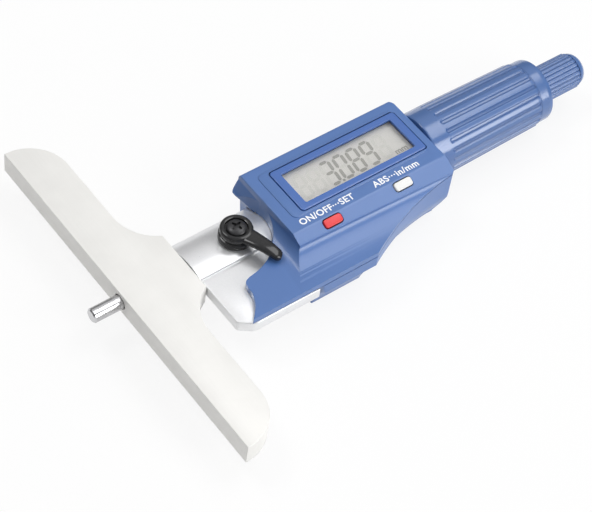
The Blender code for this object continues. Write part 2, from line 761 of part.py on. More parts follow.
def make_front_cover():
    """Blue front shell: the plan, the side profile and the end profile in common, hollowed
    from below and opened for the bezel, the buttons, the arm and the barrel."""
    top = FACE_HEIGHT + OVERRUN
    cover = plate("front_cover", front_plan(), SEAM - OVERRUN, top, BLUE)
    side_cove = cove(
        (-COVE_EDGE, FACE_LOW), COVE_EDGE - BAND_LOWER, FACE_LOW - SKIRT_TOP, -math.pi / 2, 0
    )
    outer_edge = HOUSING_LOWER + OVERRUN
    round_edge = arc(
        (HOUSING_UPPER - CORNER_RADIUS / 2, FACE_HEIGHT - CORNER_RADIUS / 2),
        CORNER_RADIUS / 2, math.pi / 2, 0, 3,
    )
    side = [(-outer_edge, SEAM - 2 * OVERRUN), (-outer_edge, SKIRT_TOP)]
    side += side_cove + [(-BAND_UPPER, FACE_HEIGHT)] + round_edge
    side += [(HOUSING_UPPER, SEAM - 2 * OVERRUN)]
    start = SKIRT_TIP - OVERRUN
    across = side_profile("front_side_shape", side, start, HOUSING_END + OVERRUN)
    slope = SEAM_RISE / (HOUSING_END - SEAM_BEND)
    end = HOUSING_END + OVERRUN
    end_cove = cove(
        (SKIRT_BEND, FACE_HEIGHT), FACE_START - SKIRT_BEND, FACE_HEIGHT - SKIRT_TOP,
        0, -math.pi / 2,
    )
    along = [
        (start, SEAM + CUT),
        (SEAM_BEND, SEAM + CUT),
        (end, SEAM + CUT + slope * (end - SEAM_BEND)),
        (end, top),
        (FACE_START, top),
    ]
    along += end_cove + [(start, SKIRT_TOP)]
    wide = HOUSING_LOWER + 2 * OVERRUN
    keep_common(cover, across, end_profile("front_end_shape", along, -wide, wide))
    low = SEAM - OVERRUN
    inner_top = FACE_HEIGHT - WALL
    hollow = [
        (-BAND_LOWER + WALL, low),
        (-BAND_LOWER + WALL, FACE_LOW - WALL),
        (-BAND_UPPER + WALL / 2, inner_top),
        (HOUSING_UPPER - WALL, inner_top),
        (HOUSING_UPPER - WALL, low),
    ]
    cut(cover, side_profile("front_hollow", hollow, FACE_START + WALL, HOUSING_END - WALL))
    join(cover, bar(
        "front_boss", SEAM + CUT, inner_top + WALL / 2,
        SCREW_BOSS_DIAMETER / 2, MEDIUM_SIDES, upright=(SCREW_LEFT, SCREW_LEFT_SIDE),
    ))
    for name, x, y, length in screw_places():
        if length == SCREW_LENGTH:
            cut(cover, bar(
                f"front_pilot_{name}", low, screw_tip(length) + FIT,
                SCREW_DIAMETER / 2 + SLIDE_FIT, SMALL_SIDES, upright=(x, y),
            ))
    bezel_way = rounded_rectangle(
        (DISPLAY_X, DISPLAY_Y), BEZEL_LENGTH + 2 * FIT, BEZEL_WIDTH + 2 * FIT, BEZEL_CORNER
    )
    cut(cover, plate("front_bezel_way", bezel_way, inner_top - OVERRUN, top))
    arm_x = (SKIRT_TIP, FACE_START + WALL + OVERRUN)
    cut(cover, block(
        "front_arm_way", arm_x, (-ARM_LOWER - FIT, ARM_UPPER + FIT),
        (low, HALF_THICKNESS + FIT),
    ))
    cut(cover, bar(
        "front_barrel_way", HOUSING_END - WALL - OVERRUN, HOUSING_END + OVERRUN,
        BARREL_SHANK_DIAMETER / 2 + FIT, MEDIUM_SIDES,
    ))
    for name, x in (("power", POWER_BUTTON_X), ("mode", MODE_BUTTON_X)):
        cut(cover, button_shape(f"front_{name}_way", x, FIT, BUTTON_DEPTH, OVERRUN, None))


def screw_tip(length):
    return -REAR_DEPTH + SCREW_HEAD_HEIGHT + length


def flange_top():
    return FACE_HEIGHT - WALL - FIT


def make_rear_cover():
    """Blue rear shell with tapered walls, a battery opening and four screw seats."""
    floor = -REAR_DEPTH
    inner_floor = floor + REAR_FLOOR
    high = SEAM + SEAM_RISE + OVERRUN
    depth = REAR_DEPTH - TAPER_START
    inner_taper = TAPER * (depth - REAR_FLOOR) / depth
    outer = [
        [(x, y, floor) for x, y in rear_plan(TAPER)],
        [(x, y, -TAPER_START) for x, y in rear_plan(0)],
        [(x, y, high) for x, y in rear_plan(0)],
    ]
    inner = [
        [(x, y, inner_floor) for x, y in rear_plan(WALL + inner_taper)],
        [(x, y, -TAPER_START) for x, y in rear_plan(WALL)],
        [(x, y, high + OVERRUN) for x, y in rear_plan(WALL)],
    ]
    cover = loft("rear_cover", outer, BLUE)
    wide = HOUSING_LOWER + 2 * OVERRUN
    above = seam_outline(-CUT, high + 2 * OVERRUN, HOUSING_START - OVERRUN)
    cut(cover, loft("rear_hollow", inner), end_profile("rear_seam_cut", above, -wide, wide))
    for name, x, y, _ in screw_places():
        join(cover, bar(
            f"rear_boss_{name}", floor + REAR_FLOOR / 2, WEB_BACK - FIT,
            SCREW_BOSS_DIAMETER / 2, MEDIUM_SIDES, upright=(x, y),
        ))
    for name, x, y, _ in screw_places():
        seat = floor + SCREW_HEAD_HEIGHT + FIT
        head = SCREW_HEAD_DIAMETER / 2 + FIT
        shank = SCREW_DIAMETER / 2 + FIT
        profile = [
            (floor - OVERRUN, 0), (floor - OVERRUN, head), (seat, head),
            (seat, shank), (WEB_BACK + OVERRUN, shank), (WEB_BACK + OVERRUN, 0),
        ]
        cut(cover, turned(f"rear_seat_{name}", profile, SMALL_SIDES, upright=(x, y)))
    wall_x = (HOUSING_START - OVERRUN, REAR_START + WALL + TAPER)
    cut(
        cover,
        block("rear_web_way", (wall_x[0], REAR_START + WALL + OVERRUN),
              (-HOUSING_LOWER + WALL, -ARM_LOWER), (WEB_BACK - FIT, high)),
        block("rear_arm_way", (wall_x[0], REAR_START + WALL + OVERRUN),
              (-ARM_LOWER - FIT, ARM_UPPER + FIT), (-HALF_THICKNESS - FIT, high)),
        bar("rear_barrel_way", HOUSING_END - WALL - TAPER, HOUSING_END + OVERRUN,
            BARREL_SHANK_DIAMETER / 2 + FIT, MEDIUM_SIDES),
        battery_way(floor, inner_floor),
    )


def battery_way(floor, inner_floor):
    """Stepped round opening for the battery cap and its seal."""
    wide = BATTERY_CAP_DIAMETER / 2 + FIT
    narrow = wide - SEAL_WIDTH - SLIDE_FIT
    ledge = floor + BATTERY_CAP_STEP + SEAL_HEIGHT + 2 * SLIDE_FIT
    high = inner_floor + OVERRUN
    profile = [(floor - OVERRUN, 0), (floor - OVERRUN, wide), (ledge, wide), (ledge, narrow),
               (high, narrow), (high, 0)]
    return turned("rear_battery_way", profile, LARGE_SIDES, upright=(BATTERY_X, BATTERY_Y))


def make_cover_screws():
    """Four pan head screws from the back into the bosses of the front cover."""
    low = -REAR_DEPTH
    for name, x, y, length in screw_places():
        head = SCREW_HEAD_DIAMETER / 2
        shank = SCREW_DIAMETER / 2
        tip = screw_tip(length)
        profile = [
            (low, 0), (low, head), (low + SCREW_HEAD_HEIGHT, head),
            (low + SCREW_HEAD_HEIGHT, shank), (tip, shank), (tip, 0),
        ]
        screw = turned(f"cover_screw_{name}", profile, SMALL_SIDES, STEEL, upright=(x, y))
        cut(screw, *cross_cutters(f"cover_cross_{name}", (x, y), low, -1, head))


def cross_cutters(name, centre, face, outward, reach):
    """Two crossed slots in a screw head whose face looks along Z, up or down."""
    tools = []
    low, high = sorted((face - outward * CROSS_DEPTH, face + outward * OVERRUN))
    half = reach * CROSS_REACH_SHARE
    for axis in range(2):
        spans = [(-half, half), (-CROSS_WIDTH / 2, CROSS_WIDTH / 2)]
        if axis:
            spans.reverse()
        tools.append(block(
            f"{name}_{axis}",
            (centre[0] + spans[0][0], centre[0] + spans[0][1]),
            (centre[1] + spans[1][0], centre[1] + spans[1][1]),
            (low, high),
        ))
    return tools


def make_display():
    """Bezel with its window, the display glass, two connector strips and the board."""
    centre = (DISPLAY_X, DISPLAY_Y)
    top = FACE_HEIGHT + BEZEL_PROUD
    body = rounded_rectangle(centre, BEZEL_LENGTH, BEZEL_WIDTH, BEZEL_CORNER)
    bezel = plate("display_bezel", body, top - BEZEL_DEPTH, top, BEZEL_BLUE)
    flange = rounded_rectangle(
        centre, BEZEL_LENGTH, BEZEL_WIDTH + 2 * FLANGE_WIDTH, BEZEL_CORNER
    )
    join(bezel, plate("bezel_flange", flange, flange_top() - FLANGE_DEPTH, flange_top()))
    opening = rounded_rectangle(centre, WINDOW_LENGTH, WINDOW_WIDTH, WINDOW_CORNER)
    pocket_length = WINDOW_LENGTH + 2 * LEDGE
    pocket_width = WINDOW_WIDTH + 2 * LEDGE
    pocket = rounded_rectangle(centre, pocket_length, pocket_width, WINDOW_CORNER)
    low = flange_top() - FLANGE_DEPTH - OVERRUN
    cut(
        bezel,
        plate("bezel_opening", opening, low, top + OVERRUN),
        plate("bezel_pocket", pocket, low, top - LEDGE_DEPTH),
    )
    sheet = rounded_rectangle(
        centre, pocket_length - 2 * FIT, pocket_width - 2 * FIT, WINDOW_CORNER
    )
    window_top = top - LEDGE_DEPTH - SLIDE_FIT
    glass_top = window_top - WINDOW_THICKNESS - SLIDE_FIT
    glass_back = glass_top - GLASS_THICKNESS
    plate("display_window", sheet, window_top - WINDOW_THICKNESS, window_top, CLEAR)
    plate("display_glass", sheet, glass_back, glass_top, GLASS)
    strip_low = BOARD_HEIGHT + BOARD_THICKNESS + SLIDE_FIT
    strip_x = (DISPLAY_X - pocket_length / 2 + STRIP_INSET, BOARD_END - FIT)
    for side, name in ((1, "upper"), (-1, "lower")):
        middle = DISPLAY_Y + side * (pocket_width / 2 - STRIP_WIDTH)
        block(
            f"connector_strip_{name}", strip_x,
            (middle - STRIP_WIDTH / 2, middle + STRIP_WIDTH / 2),
            (strip_low, glass_back - SLIDE_FIT), RUBBER,
        )
    board_outline = [
        (BOARD_START, -BOARD_LOWER),
        (BOARD_TONGUE_END, -BOARD_LOWER),
        (BOARD_TONGUE_END, -BOARD_LOWER + BOARD_TONGUE_WIDTH),
        (BOARD_END, -BOARD_LOWER + BOARD_TONGUE_WIDTH),
        (BOARD_END, BOARD_UPPER),
        (BOARD_START, BOARD_UPPER),
    ]
    board = plate(
        "circuit_board", board_outline, BOARD_HEIGHT, BOARD_HEIGHT + BOARD_THICKNESS, BOARD
    )
    for name, x, y in board_screw_places():
        cut(board, bar(
            f"board_hole_{name}", BOARD_HEIGHT - OVERRUN, BOARD_HEIGHT + OVERRUN,
            BOARD_SCREW_DIAMETER / 2 + FIT, SMALL_SIDES, upright=(x, y),
        ))
        head_low = BOARD_HEIGHT + BOARD_THICKNESS + SLIDE_FIT
        profile = [
            (BOARD_HEIGHT - BOARD_SCREW_LENGTH, 0),
            (BOARD_HEIGHT - BOARD_SCREW_LENGTH, BOARD_SCREW_DIAMETER / 2),
            (head_low, BOARD_SCREW_DIAMETER / 2),
            (head_low, BOARD_SCREW_HEAD / 2),
            (head_low + BOARD_SCREW_HEAD_HEIGHT, BOARD_SCREW_HEAD / 2),
            (head_low + BOARD_SCREW_HEAD_HEIGHT, 0),
        ]
        turned(f"board_screw_{name}", profile, SMALL_SIDES, STEEL, upright=(x, y))


def board_screw_places():
    upper = BOARD_UPPER - POST_DIAMETER / 2
    lower = -BOARD_LOWER + POST_DIAMETER / 2 + FIT
    return (
        ("upper", BOARD_END - BOARD_SCREW_INSET, upper),
        ("lower", POWER_BUTTON_X + BOARD_SCREW_DISTANCE, lower),
    )


def band_frame():
    """Middle of the sloping band and its outward direction, in Y and Z."""
    middle = Vector((-(BAND_UPPER + BAND_LOWER) / 2, FACE_HEIGHT - BAND_DROP / 2))
    along = Vector((BAND_LOWER - BAND_UPPER, BAND_DROP)).normalized()
    return middle, along, Vector((-along.y, along.x))


def button_shape(name, x, clearance, depth, proud, finish):
    """A rounded button, square to the sloping band, grown by a clearance. Its origin is the
    middle of its place on the band."""
    middle, along, outward = band_frame()
    outline = rounded_rectangle(
        (0, 0), BUTTON_LENGTH + 2 * clearance, BUTTON_WIDTH + 2 * clearance, BUTTON_CORNER
    )
    sections = []
    for height in (-depth - clearance, proud):
        section = []
        for over, across in outline:
            point = along * across + outward * height
            section.append((over, point.x, point.y))
        sections.append(section)
    made = loft(name, sections, finish)
    made.location = (x, middle.x, middle.y)
    return made


def make_buttons():
    """Red power button and pale mode button, and the snap domes they press."""
    middle, along, outward = band_frame()
    dome_low = BOARD_HEIGHT + BOARD_THICKNESS + SLIDE_FIT
    dome_top = dome_low + DOME_HEIGHT
    foot = dome_top + BUTTON_TRAVEL
    for name, x, finish in (
        ("power", POWER_BUTTON_X, RED),
        ("mode", MODE_BUTTON_X, PALE),
    ):
        button = button_shape(f"{name}_button", x, 0, BUTTON_DEPTH, BUTTON_PROUD, finish)
        half = BUTTON_FLANGE_LENGTH / 2
        y = middle.x + (middle.y - foot) * along.y
        join(button, block(
            f"{name}_button_flange", (x - half, x + half),
            (y, y + BUTTON_FLANGE_WIDTH), (foot - FIT, foot + BUTTON_FLANGE_HEIGHT),
        ))
        cut(button, block(
            f"{name}_button_foot", (x - 2 * half, x + 2 * half),
            (-HOUSING_LOWER, 0), (dome_low - OVERRUN, foot),
        ))
        turned(
            f"{name}_dome",
            [(dome_low, 0), (dome_low, DOME_DIAMETER / 2), (dome_top, DOME_TOP_DIAMETER / 2),
             (dome_top, 0)],
            SMALL_SIDES, STEEL, upright=(x, y + FIT),
        )


def make_lock():
    """Lever, screw, washer and the brass pad that grips the rod."""
    centre = (LOCK_X, LOCK_Y)
    boss_top = HALF_THICKNESS + LOCK_BOSS_RISE
    washer_low = boss_top + SLIDE_FIT
    washer_top = washer_low + LOCK_WASHER_THICKNESS
    hub_low = washer_top + SLIDE_FIT
    hub_top = hub_low + LOCK_HUB_HEIGHT
    hole = LOCK_SCREW_DIAMETER / 2 + FIT
    tube("lock_washer", washer_low, washer_top, hole, LOCK_WASHER_DIAMETER / 2,
         MEDIUM_SIDES, STEEL, upright=centre)
    lever = bar("lock_lever", hub_low, hub_top, LOCK_HUB_DIAMETER / 2,
                LARGE_SIDES, BLACK, upright=centre)
    tip = LOCK_TIP_DIAMETER / 2
    outline = [(0, LOCK_ROOT_WIDTH / 2), (0, -LOCK_ROOT_WIDTH / 2)]
    outline += arc((LOCK_REACH - tip, 0), tip, -math.pi / 2, math.pi / 2)
    turn = Vector((math.cos(LOCK_ANGLE), math.sin(LOCK_ANGLE)))
    swung = [
        (LOCK_X + along * turn.x - across * turn.y, LOCK_Y + along * turn.y + across * turn.x)
        for along, across in outline
    ]
    arm_low = hub_low + (LOCK_HUB_HEIGHT - LOCK_ARM_THICKNESS) / 2
    join(lever, plate("lever_arm", swung, arm_low, arm_low + LOCK_ARM_THICKNESS))
    seat = hub_top - LOCK_RECESS_DEPTH
    cut(
        lever,
        bar("lever_recess", seat, hub_top + OVERRUN, LOCK_RECESS_DIAMETER / 2,
            MEDIUM_SIDES, upright=centre),
        bar("lever_hole", hub_low - OVERRUN, hub_top + OVERRUN, hole,
            MEDIUM_SIDES, upright=centre),
    )
    pad_low = ROD_RADIUS + FIT
    pad_top = pad_low + PAD_LENGTH
    bar("lock_pad", pad_low, pad_top, PAD_DIAMETER / 2, SMALL_SIDES, BRASS, upright=centre)
    head_low = seat + SLIDE_FIT
    head_top = head_low + LOCK_HEAD_HEIGHT
    shank = LOCK_SCREW_DIAMETER / 2
    head = LOCK_HEAD_DIAMETER / 2
    profile = [
        (pad_top + FIT, 0), (pad_top + FIT, shank), (head_low, shank), (head_low, head),
        (head_low + LOCK_HEAD_HEIGHT / 2, head), (head_top, head * LOCK_HEAD_TOP_SHARE), (head_top, 0),
    ]
    screw = turned("lock_screw", profile, MEDIUM_SIDES, BLACK, upright=centre)
    cut(screw, *cross_cutters("lock_cross", centre, head_top, 1, head))


def make_rod():
    """Long rod through the hollow spindle, and the two nuts that set its length."""
    start = -ROD_OUT
    end = CAP_FLOOR - FIT
    profile = [
        (start, 0), (start, ROD_RADIUS - ROD_TIP_CHAMFER),
        (start + ROD_TIP_CHAMFER, ROD_RADIUS), (end, ROD_RADIUS), (end, 0),
    ]
    turned("measuring_rod", profile, MEDIUM_SIDES, POLISHED)
    nut_start = SPINDLE_END + FIT
    for name in ("seat", "lock"):
        tube(f"rod_{name}_nut", nut_start, nut_start + SEAT_NUT_LENGTH,
             ROD_RADIUS + FIT, SEAT_NUT_DIAMETER / 2, MEDIUM_SIDES, BRASS)
        nut_start += SEAT_NUT_LENGTH + FIT


def make_spindle():
    """Hollow ground screw with a keyway for the encoder and a flange for the thimble."""
    flange_end = THIMBLE_WALL_START - FIT
    flange_start = flange_end - SPINDLE_FLANGE_LENGTH
    bore = SPINDLE_BORE / 2
    flange = SPINDLE_FLANGE_DIAMETER / 2
    profile = [
        (SPINDLE_START, bore), (SPINDLE_START, SPINDLE_RADIUS),
        (flange_start, SPINDLE_RADIUS), (flange_start, flange),
        (flange_end, flange), (flange_end, SPINDLE_RADIUS),
        (SPINDLE_END, SPINDLE_RADIUS), (SPINDLE_END, bore),
    ]
    spindle = turned("spindle_screw", profile, MEDIUM_SIDES, STEEL)
    end = ROTOR_START + ROTOR_HUB_LENGTH + KEYWAY_MARGIN
    cut(spindle, block(
        "spindle_keyway", (ROTOR_START - SPINDLE_TRAVEL, end),
        (-KEYWAY_WIDTH / 2 - FIT, KEYWAY_WIDTH / 2 + FIT),
        (SPINDLE_RADIUS - KEYWAY_DEPTH, SPINDLE_RADIUS + OVERRUN),
    ))


def make_barrel():
    """Inner barrel in the frame, with the spindle nut and its wear adjuster."""
    bore = SPINDLE_RADIUS + FIT
    nut_way = NUT_DIAMETER / 2 + FIT
    profile = [
        (BARREL_START, bore), (BARREL_START, BARREL_SHANK_DIAMETER / 2),
        (HOUSING_END + FIT, BARREL_SHANK_DIAMETER / 2), (HOUSING_END + FIT, BARREL_DIAMETER / 2),
        (BARREL_END, BARREL_DIAMETER / 2), (BARREL_END, nut_way),
        (NUT_START - FIT, nut_way), (NUT_START - FIT, bore),
    ]
    turned("barrel", profile, LARGE_SIDES, STEEL)
    nut_end = NUT_START + NUT_LENGTH
    tube("spindle_nut", NUT_START, nut_end, bore, NUT_DIAMETER / 2, MEDIUM_SIDES, BRASS)
    tube("wear_adjuster", nut_end + FIT, nut_end + FIT + ADJUSTER_LENGTH, bore,
         NUT_DIAMETER / 2, MEDIUM_SIDES, STEEL)


def make_encoder():
    """Fixed disc on the barrel, turning disc on the spindle, and the key between them."""
    stator_start = BARREL_START - FIT - STATOR_THICKNESS
    bore = SPINDLE_RADIUS + FIT
    tube("encoder_stator", stator_start, BARREL_START - FIT, bore,
         STATOR_DIAMETER / 2, MEDIUM_SIDES, BOARD)
    hub_end = ROTOR_START + ROTOR_HUB_LENGTH
    profile = [
        (ROTOR_START, bore), (ROTOR_START, ROTOR_HUB_DIAMETER / 2),
        (hub_end - ROTOR_THICKNESS, ROTOR_HUB_DIAMETER / 2),
        (hub_end - ROTOR_THICKNESS, ROTOR_DIAMETER / 2),
        (hub_end, ROTOR_DIAMETER / 2), (hub_end, bore),
    ]
    rotor = turned("encoder_rotor", profile, MEDIUM_SIDES, BOARD)
    middle = ROTOR_START + (ROTOR_HUB_LENGTH - ROTOR_THICKNESS) / 2
    half_length = KEY_LENGTH / 2
    half_width = KEYWAY_WIDTH / 2
    cut(rotor, block(
        "rotor_key_way", (middle - half_length - SLIDE_FIT, middle + half_length + SLIDE_FIT),
        (-half_width - SLIDE_FIT, half_width + SLIDE_FIT), (0, ROTOR_HUB_DIAMETER / 2 + OVERRUN),
    ))
    key_low = SPINDLE_RADIUS - KEYWAY_DEPTH + SLIDE_FIT
    block("rotor_key", (middle - half_length, middle + half_length),
          (-half_width, half_width), (key_low, ROTOR_HUB_DIAMETER / 2), BRASS)


def make_thimble():
    """Blue thimble with long grooves, its inner wall held on the spindle flange."""
    outer = THIMBLE_DIAMETER / 2
    start = THIMBLE_START
    inner = BARREL_DIAMETER / 2 + FIT
    wall_end = THIMBLE_WALL_START + THIMBLE_WALL_LENGTH
    bore = SPINDLE_RADIUS + FIT
    nose = THIMBLE_NOSE_BORE / 2
    profile = [
        (start, inner), (start, outer - THIMBLE_MOUTH_CHAMFER),
        (start + THIMBLE_MOUTH_CHAMFER, outer), (THIMBLE_END - THIMBLE_MOUTH_CHAMFER, outer),
        (THIMBLE_END, outer - THIMBLE_MOUTH_CHAMFER),
        (THIMBLE_END + THIMBLE_CONE, THIMBLE_NOSE_DIAMETER / 2), (THIMBLE_END + THIMBLE_CONE, nose),
        (wall_end, nose), (wall_end, bore),
        (THIMBLE_WALL_START, bore), (THIMBLE_WALL_START, inner),
    ]
    thimble = turned("thimble", profile, 2 * RIB_COUNT, BLUE)
    half = RIB_GROOVE_WIDTH / 2
    for index in range(RIB_COUNT):
        groove = block(
            f"thimble_groove_{index}", (RIB_START, RIB_END), (-half, half),
            (outer - RIB_GROOVE_DEPTH, outer + OVERRUN),
        )
        groove.rotation_euler = (RIB_TURN + 2 * math.pi * index / RIB_COUNT, 0, 0)
        cut(thimble, groove)


def make_ratchet():
    """Rod cap with its stem, ratchet disc, spring, retaining screw, knob and end cap."""
    cap_start = THIMBLE_WALL_START + THIMBLE_WALL_LENGTH + FIT
    stem = STEM_DIAMETER / 2
    screw = RATCHET_SCREW_DIAMETER / 2
    thread = STEM_END - RATCHET_SCREW_DEPTH
    profile = [
        (CAP_FLOOR, 0), (CAP_FLOOR, CAP_BORE / 2),
        (cap_start, CAP_BORE / 2), (cap_start, CAP_DIAMETER / 2), (CAP_END, CAP_DIAMETER / 2),
        (CAP_END, stem), (STEM_END, stem), (STEM_END, screw + FIT), (thread, screw + FIT),
        (thread, 0),
    ]
    turned("rod_cap", profile, MEDIUM_SIDES, BLUE)
    disc_start = CAP_END + FIT
    disc_end = disc_start + DISC_THICKNESS
    tube("ratchet_disc", disc_start, disc_end, stem + FIT, DISC_DIAMETER / 2,
         MEDIUM_SIDES, STEEL)
    make_spring(disc_end + FIT)
    web_start = disc_end + 2 * FIT + RATCHET_SPRING_LENGTH
    web_end = web_start + KNOB_WEB
    outer = KNOB_DIAMETER / 2
    bore = KNOB_BORE / 2
    profile = [
        (KNOB_START, bore), (KNOB_START, outer - KNOB_RIB_DEPTH),
        (KNOB_START + KNOB_RIB_DEPTH, outer), (KNOB_END, outer), (KNOB_END, bore),
        (web_end, bore), (web_end, stem + FIT), (web_start, stem + FIT), (web_start, bore),
    ]
    ribbed_ring("ratchet_knob", profile, outer)
    plug = bore - FIT
    cap_face = KNOB_END + FIT
    dome_end = cap_face + KNOB_CAP_LENGTH
    radius = outer - KNOB_RIB_DEPTH
    profile = [(KNOB_END - KNOB_CAP_PLUG, 0), (KNOB_END - KNOB_CAP_PLUG, plug), (cap_face, plug)]
    profile += [
        (cap_face + KNOB_CAP_LENGTH * math.sin(angle), radius * math.cos(angle))
        for angle in (0, math.pi / 8, math.pi / 4, 3 * math.pi / 8)
    ]
    turned("knob_end_cap", profile + [(dome_end, 0)], MEDIUM_SIDES, BLUE)
    head_start = STEM_END + FIT
    profile = [
        (thread + FIT, 0), (thread + FIT, screw), (head_start, screw),
        (head_start, RATCHET_SCREW_HEAD / 2),
        (head_start + RATCHET_SCREW_HEIGHT, RATCHET_SCREW_HEAD / 2),
        (head_start + RATCHET_SCREW_HEIGHT, 0),
    ]
    turned("ratchet_screw", profile, MEDIUM_SIDES, STEEL)


def ribbed_ring(name, profile, outer):
    """A turned ring whose outer radius swings in and out as fine ribs."""
    bm = bmesh.new()
    sides = 2 * KNOB_RIBS
    rings = []
    for along, radius in profile:
        ring = []
        for index in range(sides):
            angle = KNOB_RIB_TURN + 2 * math.pi * index / sides
            low = radius - (KNOB_RIB_DEPTH if index % 2 == 0 and radius >= outer else 0)
            ring.append(bm.verts.new((along, low * math.cos(angle), low * math.sin(angle))))
        rings.append(ring)
    for here, after in zip(rings, rings[1:] + rings[:1]):
        for index in range(sides):
            step = (index + 1) % sides
            bm.faces.new((here[index], after[index], after[step], here[step]))
    return make_object(name, bm, BLUE)


def make_spring(start):
    """Small coil spring behind the ratchet disc, one wire on a helix."""
    curve = bpy.data.curves.new("ratchet_spring", "CURVE")
    curve.dimensions = "3D"
    curve.bevel_depth = RATCHET_SPRING_WIRE / 2
    curve.bevel_resolution = 1
    curve.use_fill_caps = True
    count = RATCHET_SPRING_TURNS * 10
    spline = curve.splines.new("POLY")
    spline.points.add(count)
    radius = (RATCHET_SPRING_DIAMETER - RATCHET_SPRING_WIRE) / 2
    first = start + RATCHET_SPRING_WIRE / 2
    length = RATCHET_SPRING_LENGTH - RATCHET_SPRING_WIRE
    for index in range(count + 1):
        angle = 2 * math.pi * RATCHET_SPRING_TURNS * index / count
        place = (first + length * index / count, radius * math.cos(angle), radius * math.sin(angle))
        spline.points[index].co = (*place, 1)
    curve.materials.append(STEEL)
    spring = bpy.data.objects.new("ratchet_spring", curve)
    bpy.context.scene.collection.objects.link(spring)
    spring.parent = GROUND


def make_battery():
    """Coin cell, its two contacts, the slotted cap and the seal ring."""
    centre = (BATTERY_X, BATTERY_Y)
    floor = -REAR_DEPTH
    cap_top = floor + REAR_FLOOR - SLIDE_FIT
    cell_low = cap_top + SLIDE_FIT
    cell_top = cell_low + BATTERY_HEIGHT
    bar("battery", cell_low, cell_top, BATTERY_DIAMETER / 2, LARGE_SIDES, STEEL, upright=centre)
    radius = BATTERY_CAP_DIAMETER / 2
    step = floor + BATTERY_CAP_STEP
    neck = radius - SEAL_WIDTH - SLIDE_FIT
    profile = [(floor, 0), (floor, radius), (step, radius), (step, neck), (cap_top, neck), (cap_top, 0)]
    cap = turned("battery_cap", profile, LARGE_SIDES, BLUE, upright=centre)
    half = COIN_SLOT_LENGTH / 2
    cut(cap, block(
        "coin_slot", (BATTERY_X - half, BATTERY_X + half),
        (BATTERY_Y - COIN_SLOT_WIDTH / 2, BATTERY_Y + COIN_SLOT_WIDTH / 2),
        (floor - OVERRUN, floor + COIN_SLOT_DEPTH),
    ))
    seal_low = step + SLIDE_FIT
    tube("battery_cap_seal", seal_low, seal_low + SEAL_HEIGHT, neck + SLIDE_FIT, radius,
         LARGE_SIDES, RUBBER, upright=centre)
    leaf_top = WEB_BACK - FIT
    leaf_low = cell_top + FIT
    rise = leaf_top - CONTACT_THICKNESS - leaf_low
    bow = []
    for share in CONTACT_BOW_SHARES:
        bow.append((BATTERY_X + share * CONTACT_LENGTH / 2, leaf_low + rise * share**2))
    outline = bow + [(x, z + CONTACT_THICKNESS) for x, z in reversed(bow)]
    end_profile("battery_contact_leaf", outline, BATTERY_Y - CONTACT_WIDTH / 2,
                BATTERY_Y + CONTACT_WIDTH / 2, BRASS)
    clip_x = BATTERY_X + BATTERY_DIAMETER / 2 + FIT
    block("battery_contact_clip", (clip_x, clip_x + CONTACT_THICKNESS),
          (BATTERY_Y - CONTACT_CLIP_WIDTH / 2, BATTERY_Y + CONTACT_CLIP_WIDTH / 2),
          (leaf_top - CONTACT_CLIP_HEIGHT, leaf_top), BRASS)


for old in list(bpy.data.objects):
    bpy.data.objects.remove(old, do_unlink=True)

GROUND = bpy.data.objects.new("ground", None)
bpy.context.scene.collection.objects.link(GROUND)
GROUND.location = ((ROD_OUT - LENGTH_END) / 2, 0, REAR_DEPTH)

STEEL = material("ground_steel", (0.78, 0.78, 0.77), 0.3, 1.0)
POLISHED = material("polished_steel", (0.8, 0.8, 0.79), 0.15, 1.0)
CAST = material("cast_silver", (0.75, 0.75, 0.74), 0.45, 0.9)
BLUE = material("blue_plastic", (0.10, 0.19, 0.45), 0.4)
BEZEL_BLUE = material("bezel_blue", (0.07, 0.18, 0.50), 0.25)
CLEAR = material("clear_window", (0.9, 0.9, 0.9), 0.05)
GLASS = material("display_grey", (0.65, 0.65, 0.63), 0.2)
BOARD = material("circuit_green", (0.05, 0.25, 0.10), 0.5)
RUBBER = material("black_rubber", (0.03, 0.03, 0.03), 0.8)
BLACK = material("black_lacquer", (0.02, 0.02, 0.02), 0.3)
RED = material("red_button", (0.80, 0.10, 0.11), 0.35)
PALE = material("pale_button", (0.76, 0.76, 0.74), 0.4)
BRASS = material("brass", (0.72, 0.52, 0.22), 0.35, 1.0)

make_base()
make_frame()
make_front_cover()
make_rear_cover()
make_cover_screws()
make_display()
make_buttons()
make_lock()
make_rod()
make_spindle()
make_barrel()
make_encoder()
make_thimble()
make_ratchet()
make_battery()
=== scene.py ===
"""A digital depth micrometer on a white table, made piece by piece in the order of assembly."""

import math

import bmesh
import bpy
import numpy as np
from mathutils import Matrix, Vector


